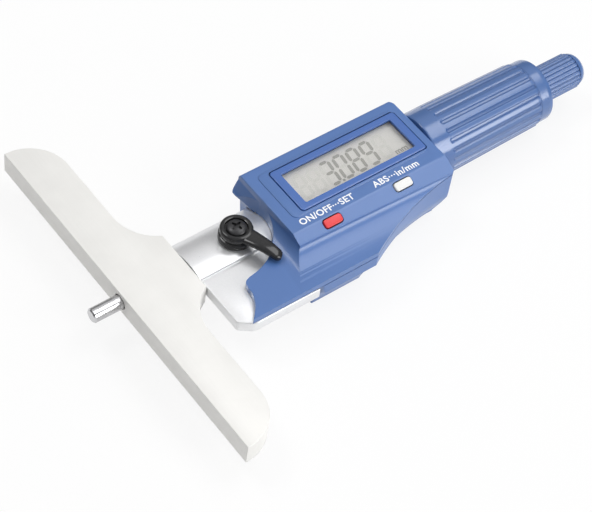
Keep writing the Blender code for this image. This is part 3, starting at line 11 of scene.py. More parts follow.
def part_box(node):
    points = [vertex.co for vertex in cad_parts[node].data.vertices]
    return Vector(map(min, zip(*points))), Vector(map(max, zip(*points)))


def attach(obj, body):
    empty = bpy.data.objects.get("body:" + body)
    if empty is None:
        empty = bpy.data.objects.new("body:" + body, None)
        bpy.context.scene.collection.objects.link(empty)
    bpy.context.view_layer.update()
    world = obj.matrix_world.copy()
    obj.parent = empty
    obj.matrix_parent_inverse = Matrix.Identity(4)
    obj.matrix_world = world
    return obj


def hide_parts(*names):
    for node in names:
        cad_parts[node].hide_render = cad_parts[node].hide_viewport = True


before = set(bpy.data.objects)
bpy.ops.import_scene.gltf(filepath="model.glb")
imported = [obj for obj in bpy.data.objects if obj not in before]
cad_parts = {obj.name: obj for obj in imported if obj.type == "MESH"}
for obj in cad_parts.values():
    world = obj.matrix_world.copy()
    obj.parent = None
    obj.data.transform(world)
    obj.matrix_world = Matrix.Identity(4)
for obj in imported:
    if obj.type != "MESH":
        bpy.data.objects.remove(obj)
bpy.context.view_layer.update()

# Measuring base: a flat bar of hardened steel, wings ground on every side, with a neck that
# carries the frame. Its edge is the measuring face. Sizes here and below are in millimetres,
# drawn round the spindle axis with zero at that face, and to_frame() puts them in place.
MM = 0.001
BASE_LOW, BASE_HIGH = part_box("measuring_base")
ROD_LOW, ROD_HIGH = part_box("measuring_rod")
ORIGIN = np.array([BASE_LOW.x, 0.0, (ROD_LOW.z + ROD_HIGH.z) / 2])
BASE_LENGTH = (BASE_HIGH.y - BASE_LOW.y) / MM
BASE_THICKNESS = (BASE_HIGH.z - BASE_LOW.z) / MM
WING_HEIGHT = 11.4
END_RADIUS = 10.8
NECK_HEIGHT = (BASE_HIGH.x - BASE_LOW.x) / MM
NECK_WIDTH = 18.2
NECK_RADIUS = 12.0
ROD_BORE = 4.2
GROUND_EDGE = 0.18
CLEARANCE = 0.3
OVERCUT = 1.0


def to_frame(points):
    """Millimetres round the spindle axis, scaled to metres and moved to the axis."""
    return np.asarray(points, float) * MM + ORIGIN


def arc(centre, radius, start, end, count):
    """centre + radius (cos a, sin a), for count angles from start to end in degrees."""
    angle = np.radians(np.linspace(start, end, count))[:, None]
    return np.asarray(centre) + np.asarray(radius) * np.hstack([np.cos(angle), np.sin(angle)])


def inset(outline, distance):
    """Each point of a closed anticlockwise outline moved inwards along the mean normal of its
    two sides, by distance over the cosine of half the turn."""
    ahead = np.roll(outline, -1, axis=0) - outline
    behind = outline - np.roll(outline, 1, axis=0)
    sides = [np.stack([-d[:, 1], d[:, 0]], axis=1) / np.linalg.norm(d, axis=1)[:, None]
             for d in (behind, ahead)]
    mean = sides[0] + sides[1]
    return outline + distance * 2 * mean / np.sum(mean * mean, axis=1)[:, None]


def rims(low, high, rounding, count=4):
    """Heights and insets of a plate whose two rims are quarter rounds."""
    turn = np.radians(np.linspace(0, 90, count))
    below = np.stack([low + rounding * (1 - np.sin(turn)), rounding * (1 - np.cos(turn))], 1)
    above = np.stack([high - rounding * (1 - np.sin(turn)), rounding * (1 - np.cos(turn))], 1)
    return np.vstack([below[::-1], above])


def grid_faces(rows, columns):
    """Quads between neighbouring closed rows of points."""
    row = np.arange(rows - 1)[:, None] * columns
    column = np.arange(columns)[None, :]
    after = (column + 1) % columns
    corners = [row + column, row + after, row + after + columns, row + column + columns]
    return np.stack(corners, axis=-1).reshape(-1, 4)


def closed_faces(rows, columns):
    """Faces of a body whose points lie in closed rows: its sides and both flat ends."""
    ends = [list(range(columns))[::-1], list(range((rows - 1) * columns, rows * columns))]
    return grid_faces(rows, columns).tolist() + ends


def stacked(sections):
    """A closed body through outlines of as many points each, at rising heights."""
    rows = [np.column_stack([outline, np.full(len(outline), height)]) for height, outline in sections]
    return np.vstack(rows), closed_faces(len(rows), len(rows[0]))


def slab(outline, levels):
    """One outline at several heights, each inset by its own distance, with flat ends."""
    return stacked([(height, inset(outline, step)) for height, step in levels])


def solid(name, points, faces, crease=30):
    """A closed mesh from points in millimetres, doubles merged, faces turned out, and shaded
    smooth wherever it turns by less than the crease."""
    bm = bmesh.new()
    corners = [bm.verts.new(point) for point in to_frame(points)]
    for face in faces:
        bm.faces.new([corners[index] for index in face])
    bmesh.ops.remove_doubles(bm, verts=bm.verts, dist=1e-7)
    bmesh.ops.dissolve_degenerate(bm, edges=bm.edges, dist=1e-8)
    bmesh.ops.recalc_face_normals(bm, faces=bm.faces)
    mesh = bpy.data.meshes.new(name)
    bm.to_mesh(mesh)
    bm.free()
    mesh.shade_smooth()
    mesh.set_sharp_from_angle(angle=math.radians(crease))
    made = bpy.data.objects.new(name, mesh)
    bpy.context.scene.collection.objects.link(made)
    return made


def tool(name, shape, operation="DIFFERENCE"):
    """A solid for carve, paired with what it does."""
    return solid(name, *shape), operation


def carve(target, *steps, crease=30):
    """Work through tools, keep the outcome as the target's mesh and throw the tools away."""
    for cutter, operation in steps:
        step = target.modifiers.new(cutter.name, "BOOLEAN")
        step.object = cutter
        step.operation = operation
        step.solver = "EXACT"
    graph = bpy.context.evaluated_depsgraph_get()
    carved = bpy.data.meshes.new_from_object(target.evaluated_get(graph))
    target.modifiers.clear()
    target.data = carved
    carved.shade_smooth()
    carved.set_sharp_from_angle(angle=math.radians(crease))
    for cutter, _ in steps:
        bpy.data.objects.remove(cutter)


def swept(xs, radii, angle, closed=False):
    """The point (x, r cos a, r sin a) for each radius over a grid of places along the spindle
    axis and angles round it. closed joins the last ring to the first."""
    count = len(angle)
    across = (radii * np.cos(angle)).ravel()
    over = (radii * np.sin(angle)).ravel()
    faces = grid_faces(len(xs), count)
    if closed:
        last = (len(xs) - 1) * count
        here = np.arange(count)
        after = (here + 1) % count
        faces = np.vstack([faces, np.column_stack([last + here, last + after, after, here])])
    return np.column_stack([np.repeat(xs, count), across, over]), faces.tolist()


def turned(profile, count=96, closed=False):
    """A profile of (distance along, radius) turned about the spindle axis."""
    profile = np.asarray(profile, float)
    angle = np.linspace(0, 2 * math.pi, count, endpoint=False)
    return swept(profile[:, 0], profile[:, 1:] * np.ones(count), angle, closed)


def drill(start, end, radius):
    """The profile of a plain round tool that passes through both ends."""
    start, end = start - OVERCUT, end + OVERCUT
    return [(start, 0), (start, radius), (end, radius), (end, 0)]


class Wire:
    """A shader socket in arithmetic: sums, differences and products of wires and numbers add
    Math nodes, and node() adds any other node with its settings and inputs. An input is given
    by name, or by its number after the letter i."""

    def __init__(self, tree, socket):
        self.tree = tree
        self.socket = socket

    def node(self, kind, settings=None, output=0, **inputs):
        made = self.tree.nodes.new(kind)
        for name, value in (settings or {}).items():
            setattr(made, name, value)
        for name, value in inputs.items():
            key = int(name[1:]) if name[0] == "i" and name[1:].isdigit() else name.replace("_", " ")
            if isinstance(value, Wire):
                self.tree.links.new(value.socket, made.inputs[key])
            else:
                made.inputs[key].default_value = value
        return Wire(self.tree, made.outputs[output])

    def math(self, operation, first, second):
        return self.node("ShaderNodeMath", {"operation": operation}, i0=first, i1=second)

    def __add__(self, other):
        return self.math("ADD", self, other)

    def __sub__(self, other):
        return self.math("SUBTRACT", self, other)

    def __rsub__(self, other):
        return self.math("SUBTRACT", other, self)

    def __mul__(self, other):
        return self.math("MULTIPLY", self, other)

    __radd__ = __add__
    __rmul__ = __mul__


def linear(red, green, blue):
    """A colour as seen on screen, 0 to 255, in the linear values that a shader takes."""
    shares = [value / 255 for value in (red, green, blue)]
    return tuple(s / 12.92 if s <= 0.04045 else ((s + 0.055) / 1.055) ** 2.4 for s in shares)


def finish(name, metallic=0.0, **constants):
    """A new Principled material, its shader and a wire on its object coordinates. The sockets named in
    constants are set directly."""
    made = bpy.data.materials.new(name)
    made.use_nodes = True
    tree = made.node_tree
    shader = tree.nodes["Principled BSDF"]
    shader.inputs["Metallic"].default_value = metallic
    for socket, value in constants.items():
        shader.inputs[socket.replace("_", " ")].default_value = value
    place = tree.nodes.new("ShaderNodeTexCoord")
    return made, shader, Wire(tree, place.outputs["Object"])


def noise(place, scale, detail=2.0, stretch=(1, 1, 1)):
    """Cloudy noise of so many lumps per metre, drawn out along an axis by a small stretch."""
    spread = place.node("ShaderNodeMapping", i0=place, Scale=stretch)
    return spread.node("ShaderNodeTexNoise", Vector=spread, Scale=scale, Detail=detail)


def tint(mask, low, high):
    """A colour that runs from low to high as the mask runs from 0 to 1."""
    return mask.node("ShaderNodeMix", {"data_type": "RGBA"}, output=2, i0=mask,
                     i6=(*low, 1), i7=(*high, 1))


def drive(shader, socket, wire):
    """Link a wire to a named socket of a shader."""
    shader.id_data.links.new(wire.socket, shader.inputs[socket])


def paint(shader, mask, low, high, roughness):
    """A colour that runs from low to high with the mask, and a wire for the roughness."""
    drive(shader, "Base Color", tint(mask, low, high))
    drive(shader, "Roughness", roughness)


def bump(shader, height, distance, strength, radius):
    """Relief of a height in metres, over edges softened by a small radius."""
    edges = height.node("ShaderNodeBevel", {"samples": 4}, Radius=radius)
    relief = height.node("ShaderNodeBump", Strength=strength, Distance=distance, Height=height, Normal=edges)
    drive(shader, "Normal", relief)


steel, shader, place = finish("ground_steel", metallic=0.12, Specular_IOR_Level=0.2)
clouds = noise(place, 160.0, 3.0)
lines = noise(place, 2600.0, 2.0, (1, 0.035, 1))
paint(shader, clouds * 0.7 + lines * 0.3, linear(230, 229, 226), linear(242, 241, 238),
      0.34 + 0.16 * (lines * 0.6 + clouds * 0.4))
bump(shader, lines, 0.00001, 0.35, 0.00012)

end_x = WING_HEIGHT - END_RADIUS
end_y = BASE_LENGTH / 2 - math.sqrt(END_RADIUS**2 - end_x**2)
tip = math.degrees(math.asin(-end_x / END_RADIUS))
neck_x = WING_HEIGHT + NECK_RADIUS
neck_y = NECK_WIDTH / 2 + math.sqrt(NECK_RADIUS**2 - (neck_x - NECK_HEIGHT) ** 2)
neck_turn = math.degrees(math.asin((neck_x - NECK_HEIGHT) / NECK_RADIUS))
wing = np.vstack([
    arc((end_y, end_x), END_RADIUS, tip, 90, 40),
    arc((neck_y, neck_x), NECK_RADIUS, -90, -180 + neck_turn, 24),
])[:, ::-1]
wing_outline = np.vstack([wing, (wing * [1, -1])[::-1]])
half_base = BASE_THICKNESS / 2
base = solid("base_dressed", *slab(wing_outline[::-1], rims(-half_base, half_base, GROUND_EDGE)))
carve(base, tool("base_bore", turned(drill(0, NECK_HEIGHT, ROD_BORE / 2))))
base.data.materials.append(steel)
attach(base, "frame")
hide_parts("measuring_base")

# Measuring rod: hardened and polished steel, with a small chamfer at its tip. It runs from
# in front of the measuring face through the hollow spindle.
ROD_RADIUS = (ROD_HIGH.z - ROD_LOW.z) / MM / 2
ROD_START = (ROD_LOW.x - ORIGIN[0]) / MM
ROD_END = (ROD_HIGH.x - ORIGIN[0]) / MM
ROD_CHAMFER = 0.35

polished, shader, place = finish("polished_steel", metallic=1.0)
rings = noise(place, 900.0, 2.0, (1, 0.05, 0.05))
paint(shader, rings, linear(196, 196, 198), linear(222, 222, 224), 0.17 + 0.12 * rings)
bump(shader, rings, 0.000004, 0.4, 0.0001)

rod_profile = [(ROD_START, 0), (ROD_START, ROD_RADIUS - ROD_CHAMFER),
               (ROD_START + ROD_CHAMFER, ROD_RADIUS), (ROD_END, ROD_RADIUS), (ROD_END, 0)]
rod = solid("rod_dressed", *turned(rod_profile, 64))
rod.data.materials.append(polished)
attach(rod, "spindle")
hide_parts("measuring_rod")

# Frame: a silver-painted casting. A thick arm with a rounded upper edge joins the base to
# the housing, a groove sets it off from the thinner web beside it, and a round boss on the
# arm carries the lock.
ARM_START = NECK_HEIGHT + CLEARANCE
ARM_UPPER = 7.3
ARM_LOWER = 6.1
ARM_END = 42.2
HOUSING_START = 40.0
WEB_FRONT = 2.4
WEB_BACK = -0.8
WEB_EDGE = 23.8
WEB_END = 40.9
WEB_CORNER = (3.4, 2.6)
WEB_CORNER_ROUND = (1.2, 3.0)
WEB_RIM = 0.25
CROWN_RADIUS = 13.7
CREST = -1.5
ARM_ROUND_LOWER = 0.5
ARM_ROUND_UPPER = 2.4
GROOVE_WIDTH = 1.1
GROOVE_DEPTH = 0.8
GROOVE_ROUND = 0.3
LOCK = (32.5, -0.8)
BOSS_RADIUS = 3.3
BOSS_TOP = half_base + 1.2
BOSS_RIM = 0.25

cast, shader, place = finish("cast_silver", metallic=0.55)
grain = noise(place, 2800.0, 3.0)
patches = noise(place, 210.0, 2.0)
paint(shader, grain * 0.6 + patches * 0.4, linear(226, 227, 229), linear(246, 246, 247),
      0.25 + 0.1 * grain)
bump(shader, grain, 0.000006, 0.13, 0.0002)


def upright(shape, centre):
    """A turned shape stood on its end: along becomes height, over a centre in plan."""
    points, faces = shape
    return points[:, [1, 2, 0]] + [centre[0], centre[1], 0], faces


def rounded(corners, radii, count=5):
    """A closed outline whose corners are arcs tangent to both sides. Seen from the arc's
    centre, a point goes from one tangent point to the other at an even turn."""
    parts = []
    corners = np.asarray(corners, float)
    neighbours = zip(np.roll(corners, 1, 0), corners, np.roll(corners, -1, 0), radii)
    for before, here, after, radius in neighbours:
        if radius == 0:
            parts.append(here[None, :])
            continue
        u = (before - here) / np.linalg.norm(before - here)
        v = (after - here) / np.linalg.norm(after - here)
        half = math.acos(np.clip(u @ v, -1, 1)) / 2
        centre = here + (u + v) / np.linalg.norm(u + v) * radius / math.sin(half)
        first = here + u * radius / math.tan(half) - centre
        last = here + v * radius / math.tan(half) - centre
        turn = math.pi - 2 * half
        t = np.linspace(0, 1, count)[:, None]
        mixed = np.sin((1 - t) * turn) * first + np.sin(t * turn) * last
        parts.append(centre + mixed / math.sin(turn))
    return np.vstack(parts)


def along_x(section, start, end, last=None):
    """A closed section in Y and Z carried along X between two places, straight or changing
    evenly into a last section of as many points."""
    points, faces = stacked([(start, section), (end, section if last is None else last)])
    return points[:, [2, 0, 1]], faces


web_outline = rounded(
    [(ARM_START, 0), (ARM_START, -WEB_EDGE + WEB_CORNER[1]), (ARM_START + WEB_CORNER[0], -WEB_EDGE),
     (WEB_END, -WEB_EDGE), (WEB_END, 0)],
    [0, *WEB_CORNER_ROUND, 0, 0])
web = solid("frame_dressed", *slab(web_outline, rims(WEB_BACK, WEB_FRONT, WEB_RIM)))
across = np.linspace(ARM_UPPER - 0.05, -ARM_LOWER + 0.5, 40)
rise = np.sqrt(CROWN_RADIUS**2 - (across - CREST) ** 2) - CROWN_RADIUS
arm_section = np.vstack([
    np.column_stack([across, half_base + rise]),
    [(-ARM_LOWER + 0.2, half_base - 0.78), (-ARM_LOWER + 0.05, half_base - 1.0)],
    [(-ARM_LOWER, half_base - 1.3)],
    arc((-ARM_LOWER + ARM_ROUND_LOWER, -half_base + ARM_ROUND_LOWER), ARM_ROUND_LOWER, 180, 270, 6),
    arc((ARM_UPPER - ARM_ROUND_UPPER, 0), (ARM_ROUND_UPPER, half_base), -90, -5, 16),
])
boss_profile = [(0, 0), (0, BOSS_RADIUS), (BOSS_TOP - BOSS_RIM, BOSS_RADIUS),
                (BOSS_TOP, BOSS_RADIUS - BOSS_RIM), (BOSS_TOP, 0)]
groove_floor = WEB_FRONT - GROOVE_DEPTH
groove = rounded(
    [(-ARM_LOWER - GROOVE_WIDTH, WEB_FRONT + OVERCUT), (-ARM_LOWER - GROOVE_WIDTH, groove_floor),
     (-ARM_LOWER + GROOVE_ROUND, groove_floor), (-ARM_LOWER + GROOVE_ROUND, WEB_FRONT + OVERCUT)],
    [0, GROOVE_ROUND, 0, 0])
carve(web,
      tool("frame_groove", along_x(groove, ARM_START - OVERCUT, HOUSING_START + OVERCUT)),
      tool("frame_arm", along_x(arm_section, ARM_START, ARM_END), "UNION"),
      tool("frame_boss", upright(turned(boss_profile, 64), LOCK), "UNION"),
      tool("frame_bore", turned(drill(ARM_START, ARM_END, ROD_BORE / 2), 48)))
web.data.materials.append(cast)
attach(web, "frame")
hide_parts("frame_body")

# Covers: two mouldings in matt blue plastic, parted along a seam that climbs towards the
# thimble. The front one has a hollow side, a sloping band for the buttons, a scoop round the
# lock lever and a skirt over the web. The rear one tapers to a flat back.
FRONT_START = 39.6
HOUSING_END = 88.8
HOUSING_UPPER = 11.1
HOUSING_LOWER = 23.6
HOUSING_WAIST = 15.2
BULGE_END = 58.5
WAIST_BEND = (72.0, -16.3)
CORNER = 2.0
WALL = 1.3
SEAM = 2.55
SEAM_START = 10.0
SEAM_OVER = 3.0
SEAM_BEND = 60.0
SEAM_RISE = 3.6
SEAM_GAP = 0.3
SKIRT_TOP = 4.3
FACE = 9.0
FACE_START = 41.6
BAND_UPPER = 10.8
BAND_LOWER = 13.8
BAND_DROP = 1.4
BAND_SPREAD = 0.028
COVE_EDGE = 22.6
END_REACH_UPPER = 1.9
END_REACH_LOWER = 6.5
BACK = -9.5
BACK_FLOOR = 1.8
BACK_RIM = 0.8
COVE_POWER = 1.9
COVE_DROP = 0.2
UNDERCUT = 1.3
UNDERCUT_FROM = 3.0
SCOOP = [(39.6, 9.3), (40.0, 8.3), (40.6, 6.8), (41.2, 4.8), (41.6, 2.2), (41.6, -0.4), (41.2, -2.8),
         (40.3, -5.2), (38.8, -7.2)]
SKIRT = [(36.8, -9.0), (34.8, -10.8), (31.2, -12.3), (27.6, -13.0), (26.2, -13.7), (25.7, -15.1),
         (25.5, -17.3), (24.2, -20.2), (22.4, -22.4), (21.2, -23.6)]
# The rear cover's taper: at each height, how far its outline lies inside the front cover's all
# round, at the frame's end and at the bulge.
REAR_HEIGHTS = [-8.6, -5.0, -2.4, -0.8, 2.5, 8.5]
REAR_INSETS = np.array([
    (2.3, 2.3, 3.7), (0.9, 2.2, 2.6), (0.05, 2.2, 1.3), (0, 2.1, 0), (0, 1.0, 0), (0, 1.0, 0)])
RIM = 0.3
PLATFORM = (44.6, 86.4, -7.5, 8.2)
PLATFORM_RISE = 0.18
PLATFORM_CORNER = 1.6
BATTERY_CENTRE = (52.8, -10.5)
BATTERY_WAY = 6.9
BATTERY_SEAT = 1.2
BATTERY_LEDGE = 0.7
BARREL_WAY = 4.8
HOLE_DEPTH = 4.0
SCREWS = {"upper_left": (45.1, 5.4), "upper_right": (76.6, 6.6),
          "lower_left": (45.1, -17.4), "lower_right": (76.6, -6.6)}
SCREW_SEAT = 1.6
SCREW_DEPTH = 1.2
SCREW_HOLE = 1.0
BEZEL_LOW, BEZEL_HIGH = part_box("display_bezel")
DISPLAY = (((BEZEL_LOW.x + BEZEL_HIGH.x) / 2 - ORIGIN[0]) / MM, 0.4)
BEZEL = (38.7, 13.9)
BEZEL_CORNER = 0.8
BUTTONS = {"power": 52.6, "mode": 74.3}
BUTTON = (5.2, 2.2)
BUTTON_CORNER = 0.7
BUTTON_DEPTH = 3.0
BUTTON_GAP = 0.25
SIDE_SPAN = (5.0, 100.0)
END_SPAN = (-30.0, 20.0)
FAR = 60.0


def plastic(name, colour, roughness, mottle=0.05, **constants):
    """Moulded plastic: an even colour that varies by a small share, spark-eroded grain in its
    relief and roughness, and edges that catch the light."""
    made, shader, place = finish(name, **constants)
    grain = noise(place, 3800.0, 2.0)
    broad = noise(place, 90.0, 2.0)
    pale = tuple(channel * (1 + mottle) for channel in colour)
    deep = tuple(channel * (1 - mottle) for channel in colour)
    paint(shader, broad * 0.6 + grain * 0.4, deep, pale, roughness - 0.05 + 0.1 * grain)
    bump(shader, grain, 0.000012, 0.35, 0.00015)
    return made


blue = plastic("blue_plastic", linear(80, 116, 176), 0.34, Coat_Weight=0.3, Coat_Roughness=0.2)


def waist(inner, low, count=40):
    """Lower edge from the bulge to the thimble end, moved in, by more at the bulge: the
    parabola through A and C that leaves A towards B, (1-t)^2 A + 2t(1-t) B + t^2 C."""
    start = np.array([BULGE_END - inner / 2, -HOUSING_LOWER + low])
    bend = np.array([WAIST_BEND[0], WAIST_BEND[1] + inner])
    end = np.array([HOUSING_END - CORNER - inner, -HOUSING_WAIST + inner])
    t = np.linspace(0, 1, count)[:, None]
    return (1 - t) ** 2 * start + 2 * t * (1 - t) * bend + t**2 * end


def housing_right(inner, low):
    """The outline that both covers share, from the bulge round the thimble end."""
    radius = max(CORNER - inner, RIM)
    small = radius * 0.4
    lower = (HOUSING_END - inner - small, -HOUSING_WAIST + inner + small)
    upper = (HOUSING_END - inner - radius, HOUSING_UPPER - inner - radius)
    return np.vstack([waist(inner, low), arc(lower, small, -90, 0, 8), arc(upper, radius, 0, 90, 12)])


def rear_plan(inner, left, low):
    """Outline of the rear cover, moved in by a distance, and by distances of their own at the
    frame's end and at the bulge, always with the same points."""
    start = HOUSING_START + CLEARANCE + left
    radius = max(CORNER / 2 - inner, RIM)
    upper = (start + radius, HOUSING_UPPER - inner - radius)
    lower = (start + radius, -HOUSING_LOWER + low + radius)
    frame_end = [arc(upper, radius, 90, 180, 8), arc(lower, radius, 180, 270, 8)]
    return np.vstack([housing_right(inner, low), *frame_end])


def front_plan():
    """Outline of the front cover: the shared end, the upper left corner, the scoop, the skirt."""
    corner = (FRONT_START + CORNER / 2, HOUSING_UPPER - CORNER / 2)
    edge = smooth_through(SCOOP + SKIRT[:-1], 6)
    return np.vstack([housing_right(0, 0), arc(corner, CORNER / 2, 90, 180, 8), edge, SKIRT[-1:]])


def cove(centre, reach, power=COVE_POWER, count=28):
    """A hollow corner between a wall and a floor: centre + reach (cos^q a, -sin^q a), with
    q = 2 / power. A power of 2 gives an ellipse and a power of 1 a flat slope."""
    angle = np.radians(np.linspace(0, 90, count))
    q = 2 / power
    bend = np.column_stack([reach[0] * np.cos(angle) ** q, -reach[1] * np.sin(angle) ** q])
    return np.asarray(centre) + bend


def seam_line(offset, end, far):
    """The seam moved up by an offset, as the near side of an outline in X and Z."""
    slope = SEAM_RISE / (HOUSING_END - SEAM_BEND)
    rise = SEAM + offset + slope * (end - SEAM_BEND)
    near = [(SEAM_START, SEAM + offset), (SEAM_BEND, SEAM + offset)]
    return near + [(end, rise), (end, far), (SEAM_START, far)]


def without_repeats(outline):
    """A closed outline less the points that fall on the one before."""
    step = np.linalg.norm(outline - np.roll(outline, 1, axis=0), axis=1)
    return outline[step > 1e-4]


def along_y(section, start, end, last=None):
    """The same along Y, for a closed section in X and Z."""
    points, faces = along_x(section, start, end, last)
    return points[:, [1, 0, 2]], faces


def smooth_through(points, count):
    """A curve through points: between the second and third of each four, a cubic whose slope
    at either is half the step between that one's neighbours."""
    points = np.asarray(points, float)
    padded = np.vstack([points[0], points, points[-1]])
    t = np.linspace(0, 1, count, endpoint=False)[:, None]
    weights = [(-t + 2 * t**2 - t**3) / 2, (2 - 5 * t**2 + 3 * t**3) / 2,
               (t + 4 * t**2 - 3 * t**3) / 2, (-(t**2) + t**3) / 2]
    spans = [sum(w * p for w, p in zip(weights, padded[i:i + 4])) for i in range(len(points) - 1)]
    return np.vstack(spans + [points[-1:]])


def block(x, y, z):
    """A plain box between pairs of limits."""
    corners = np.array([(x[0], y[0]), (x[1], y[0]), (x[1], y[1]), (x[0], y[1])], float)
    return slab(corners, [(z[0], 0), (z[1], 0)])


def rectangle(centre, length, width, radius, count=6):
    """A rectangle with rounded corners, anticlockwise."""
    x, y = length / 2, width / 2
    corners = np.array([(x, y), (-x, y), (-x, -y), (x, -y)]) + np.asarray(centre)
    return rounded(corners, [radius] * 4, count)


def widened(centre, size, corner, gap):
    """The outline of a hole that clears a rounded rectangle by a gap all round."""
    return rectangle(centre, size[0] + 2 * gap, size[1] + 2 * gap, corner + gap)


BAND_RISE = math.hypot(BAND_LOWER - BAND_UPPER, BAND_DROP)
BAND_ALONG = np.array([BAND_LOWER - BAND_UPPER, BAND_DROP]) / BAND_RISE


def on_band(points, x):
    """Points of (along X, up the band, out of the band) set on the middle of the sloping band."""
    y = -(BAND_UPPER + BAND_LOWER) / 2 + points[:, 1] * BAND_ALONG[0] - points[:, 2] * BAND_ALONG[1]
    z = FACE - BAND_DROP / 2 + points[:, 1] * BAND_ALONG[1] + points[:, 2] * BAND_ALONG[0]
    return np.column_stack([points[:, 0] + x, y, z])


face_low = FACE - BAND_DROP


def side_section(x):
    """Section of the front cover at a place along it. The band's lower edge moves out in
    proportion to the distance from the face's start, in the band's own plane."""
    spread = BAND_SPREAD * (x - FACE_START)
    low = -BAND_LOWER - spread
    z = face_low - spread * BAND_DROP / (BAND_LOWER - BAND_UPPER)
    return np.vstack([
        [(-FAR, 0), (-FAR, SKIRT_TOP)],
        cove((-COVE_EDGE, z - COVE_DROP), (COVE_EDGE + low, z - COVE_DROP - SKIRT_TOP))[::-1],
        rounded([(low - 0.01, z - 0.15), (low, z), (low + 0.6, z + 0.28)], [0, 0.1, 0], 4),
        [(-BAND_UPPER - 0.35, FACE - 0.165), (-BAND_UPPER, FACE - 0.04), (-BAND_UPPER + 0.3, FACE)],
        arc((HOUSING_UPPER - 1, FACE - 1), 1.0, 90, 0, 10),
        [(HOUSING_UPPER, 0)],
    ])


def end_section(y):
    """Section of the front cover's end over the frame at a place across it. The cove's reach
    grows evenly from the upper edge, where it is a flat slope, to the bulge."""
    share = (HOUSING_UPPER - y) / (HOUSING_UPPER + COVE_EDGE)
    reach = END_REACH_UPPER + (END_REACH_LOWER - END_REACH_UPPER) * share
    high = face_low - COVE_DROP
    low = SKIRT_TOP - 0.03
    return np.vstack([
        seam_line(SEAM_GAP / 2, HOUSING_END + SEAM_OVER, FACE + OVERCUT)[:4],
        [(FACE_START + RIM, FACE + OVERCUT), (FACE_START + RIM, FACE)],
        arc((FACE_START + RIM, FACE - RIM), RIM, 90, 180, 6)[1:],
        cove((FACE_START - reach, high), (reach, high - low), 1 + (COVE_POWER - 1) * share),
        [(SEAM_START, low)],
    ])


def between(section, along, span):
    """A section that depends on its place, carried over a span along X or Y."""
    return along(section(span[0]), *span, section(span[1]))


inner_face = FACE - WALL
arm_way = inset(arm_section, -CLEARANCE)
hollow = np.array([
    (-BAND_LOWER + WALL, -1), (HOUSING_UPPER - WALL, -1), (HOUSING_UPPER - WALL, inner_face),
    (-BAND_UPPER + WALL / 2, inner_face), (-BAND_LOWER + WALL, face_low - WALL)])
barrel_way = turned(drill(HOUSING_END - 3, HOUSING_END + 2, BARREL_WAY), 48)
platform_centre = ((PLATFORM[0] + PLATFORM[1]) / 2, (PLATFORM[2] + PLATFORM[3]) / 2)
platform_size = (PLATFORM[1] - PLATFORM[0], PLATFORM[3] - PLATFORM[2])
platform = rectangle(platform_centre, *platform_size, PLATFORM_CORNER, 10)
bezel_way = widened(DISPLAY, BEZEL, BEZEL_CORNER, CLEARANCE)
outside = FRONT_START - OVERCUT
undercut_low = SEAM - OVERCUT
undercut_end = HOUSING_START + UNDERCUT
ridge = SKIRT_TOP - 0.2
undercut = np.array([(outside, undercut_low), (undercut_end, undercut_low), (undercut_end, SEAM),
                     (FRONT_START, ridge), (outside, ridge)])
front = solid("front_dressed", *slab(without_repeats(front_plan()), rims(SEAM - SEAM_OVER, FACE, RIM)))
steps = [
    tool("front_side", between(side_section, along_x, SIDE_SPAN), "INTERSECT"),
    tool("front_end", between(end_section, along_y, END_SPAN), "INTERSECT"),
    tool("front_undercut", along_y(undercut, UNDERCUT_FROM, HOUSING_UPPER + 2)),
    tool("front_platform", slab(platform, rims(FACE - 0.5, FACE + PLATFORM_RISE, 0.12)), "UNION"),
    tool("front_hollow", along_x(hollow, FACE_START + WALL, HOUSING_END - WALL)),
    tool("front_bezel_way", slab(bezel_way, [(5, 0), (12, 0)])),
    tool("front_arm_way", along_x(arm_way, 10, FACE_START + WALL + 2)),
    tool("front_barrel_way", barrel_way),
]
button_way = widened((0, 0), BUTTON, BUTTON_CORNER, BUTTON_GAP)
for name, x in BUTTONS.items():
    points, faces = slab(button_way, [(-BUTTON_DEPTH - CLEARANCE, 0), (2, 0)])
    steps.append(tool(f"front_{name}_way", (on_band(points, x), faces)))
carve(front, *steps, crease=25)
front.data.materials.append(blue)
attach(front, "frame")
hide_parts("front_cover")


outer = [(height, rear_plan(*(REAR_INSETS[0] + step))) for height, step in rims(BACK, FACE, BACK_RIM, 6)[:6]]
outer += [(height, rear_plan(*step)) for height, step in zip(REAR_HEIGHTS, REAR_INSETS)]
inner = [(BACK + BACK_FLOOR, rear_plan(*(REAR_INSETS[0] + WALL - 0.3)))]
inner += [(height, rear_plan(*(step + WALL))) for height, step in zip(REAR_HEIGHTS[1:], REAR_INSETS[1:])]
above = np.array(seam_line(-SEAM_GAP / 2, HOUSING_END + SEAM_OVER, FACE + SEAM_OVER))
entry = (30, HOUSING_START + 4)
web_way = (entry, (-HOUSING_LOWER + WALL, -ARM_LOWER), (WEB_BACK - CLEARANCE, FACE))
rear = solid("rear_dressed", *stacked(outer))
steps = [
    tool("rear_hollow", stacked(inner)),
    tool("rear_seam", along_y(above, -FAR, FAR)),
    tool("rear_web_way", block(*web_way)),
    tool("rear_arm_way", along_x(arm_way, *entry)),
    tool("rear_barrel_way", barrel_way),
]
rim = 0.2
battery_way = [
    (BACK - OVERCUT, 0), (BACK - OVERCUT, BATTERY_WAY + rim), (BACK, BATTERY_WAY + rim),
    (BACK + rim, BATTERY_WAY), (BACK + BATTERY_SEAT, BATTERY_WAY),
    (BACK + BATTERY_SEAT, BATTERY_WAY - BATTERY_LEDGE),
    (BACK + HOLE_DEPTH, BATTERY_WAY - BATTERY_LEDGE), (BACK + HOLE_DEPTH, 0)]
steps.append(tool("rear_battery_way", upright(turned(battery_way, 96), BATTERY_CENTRE)))
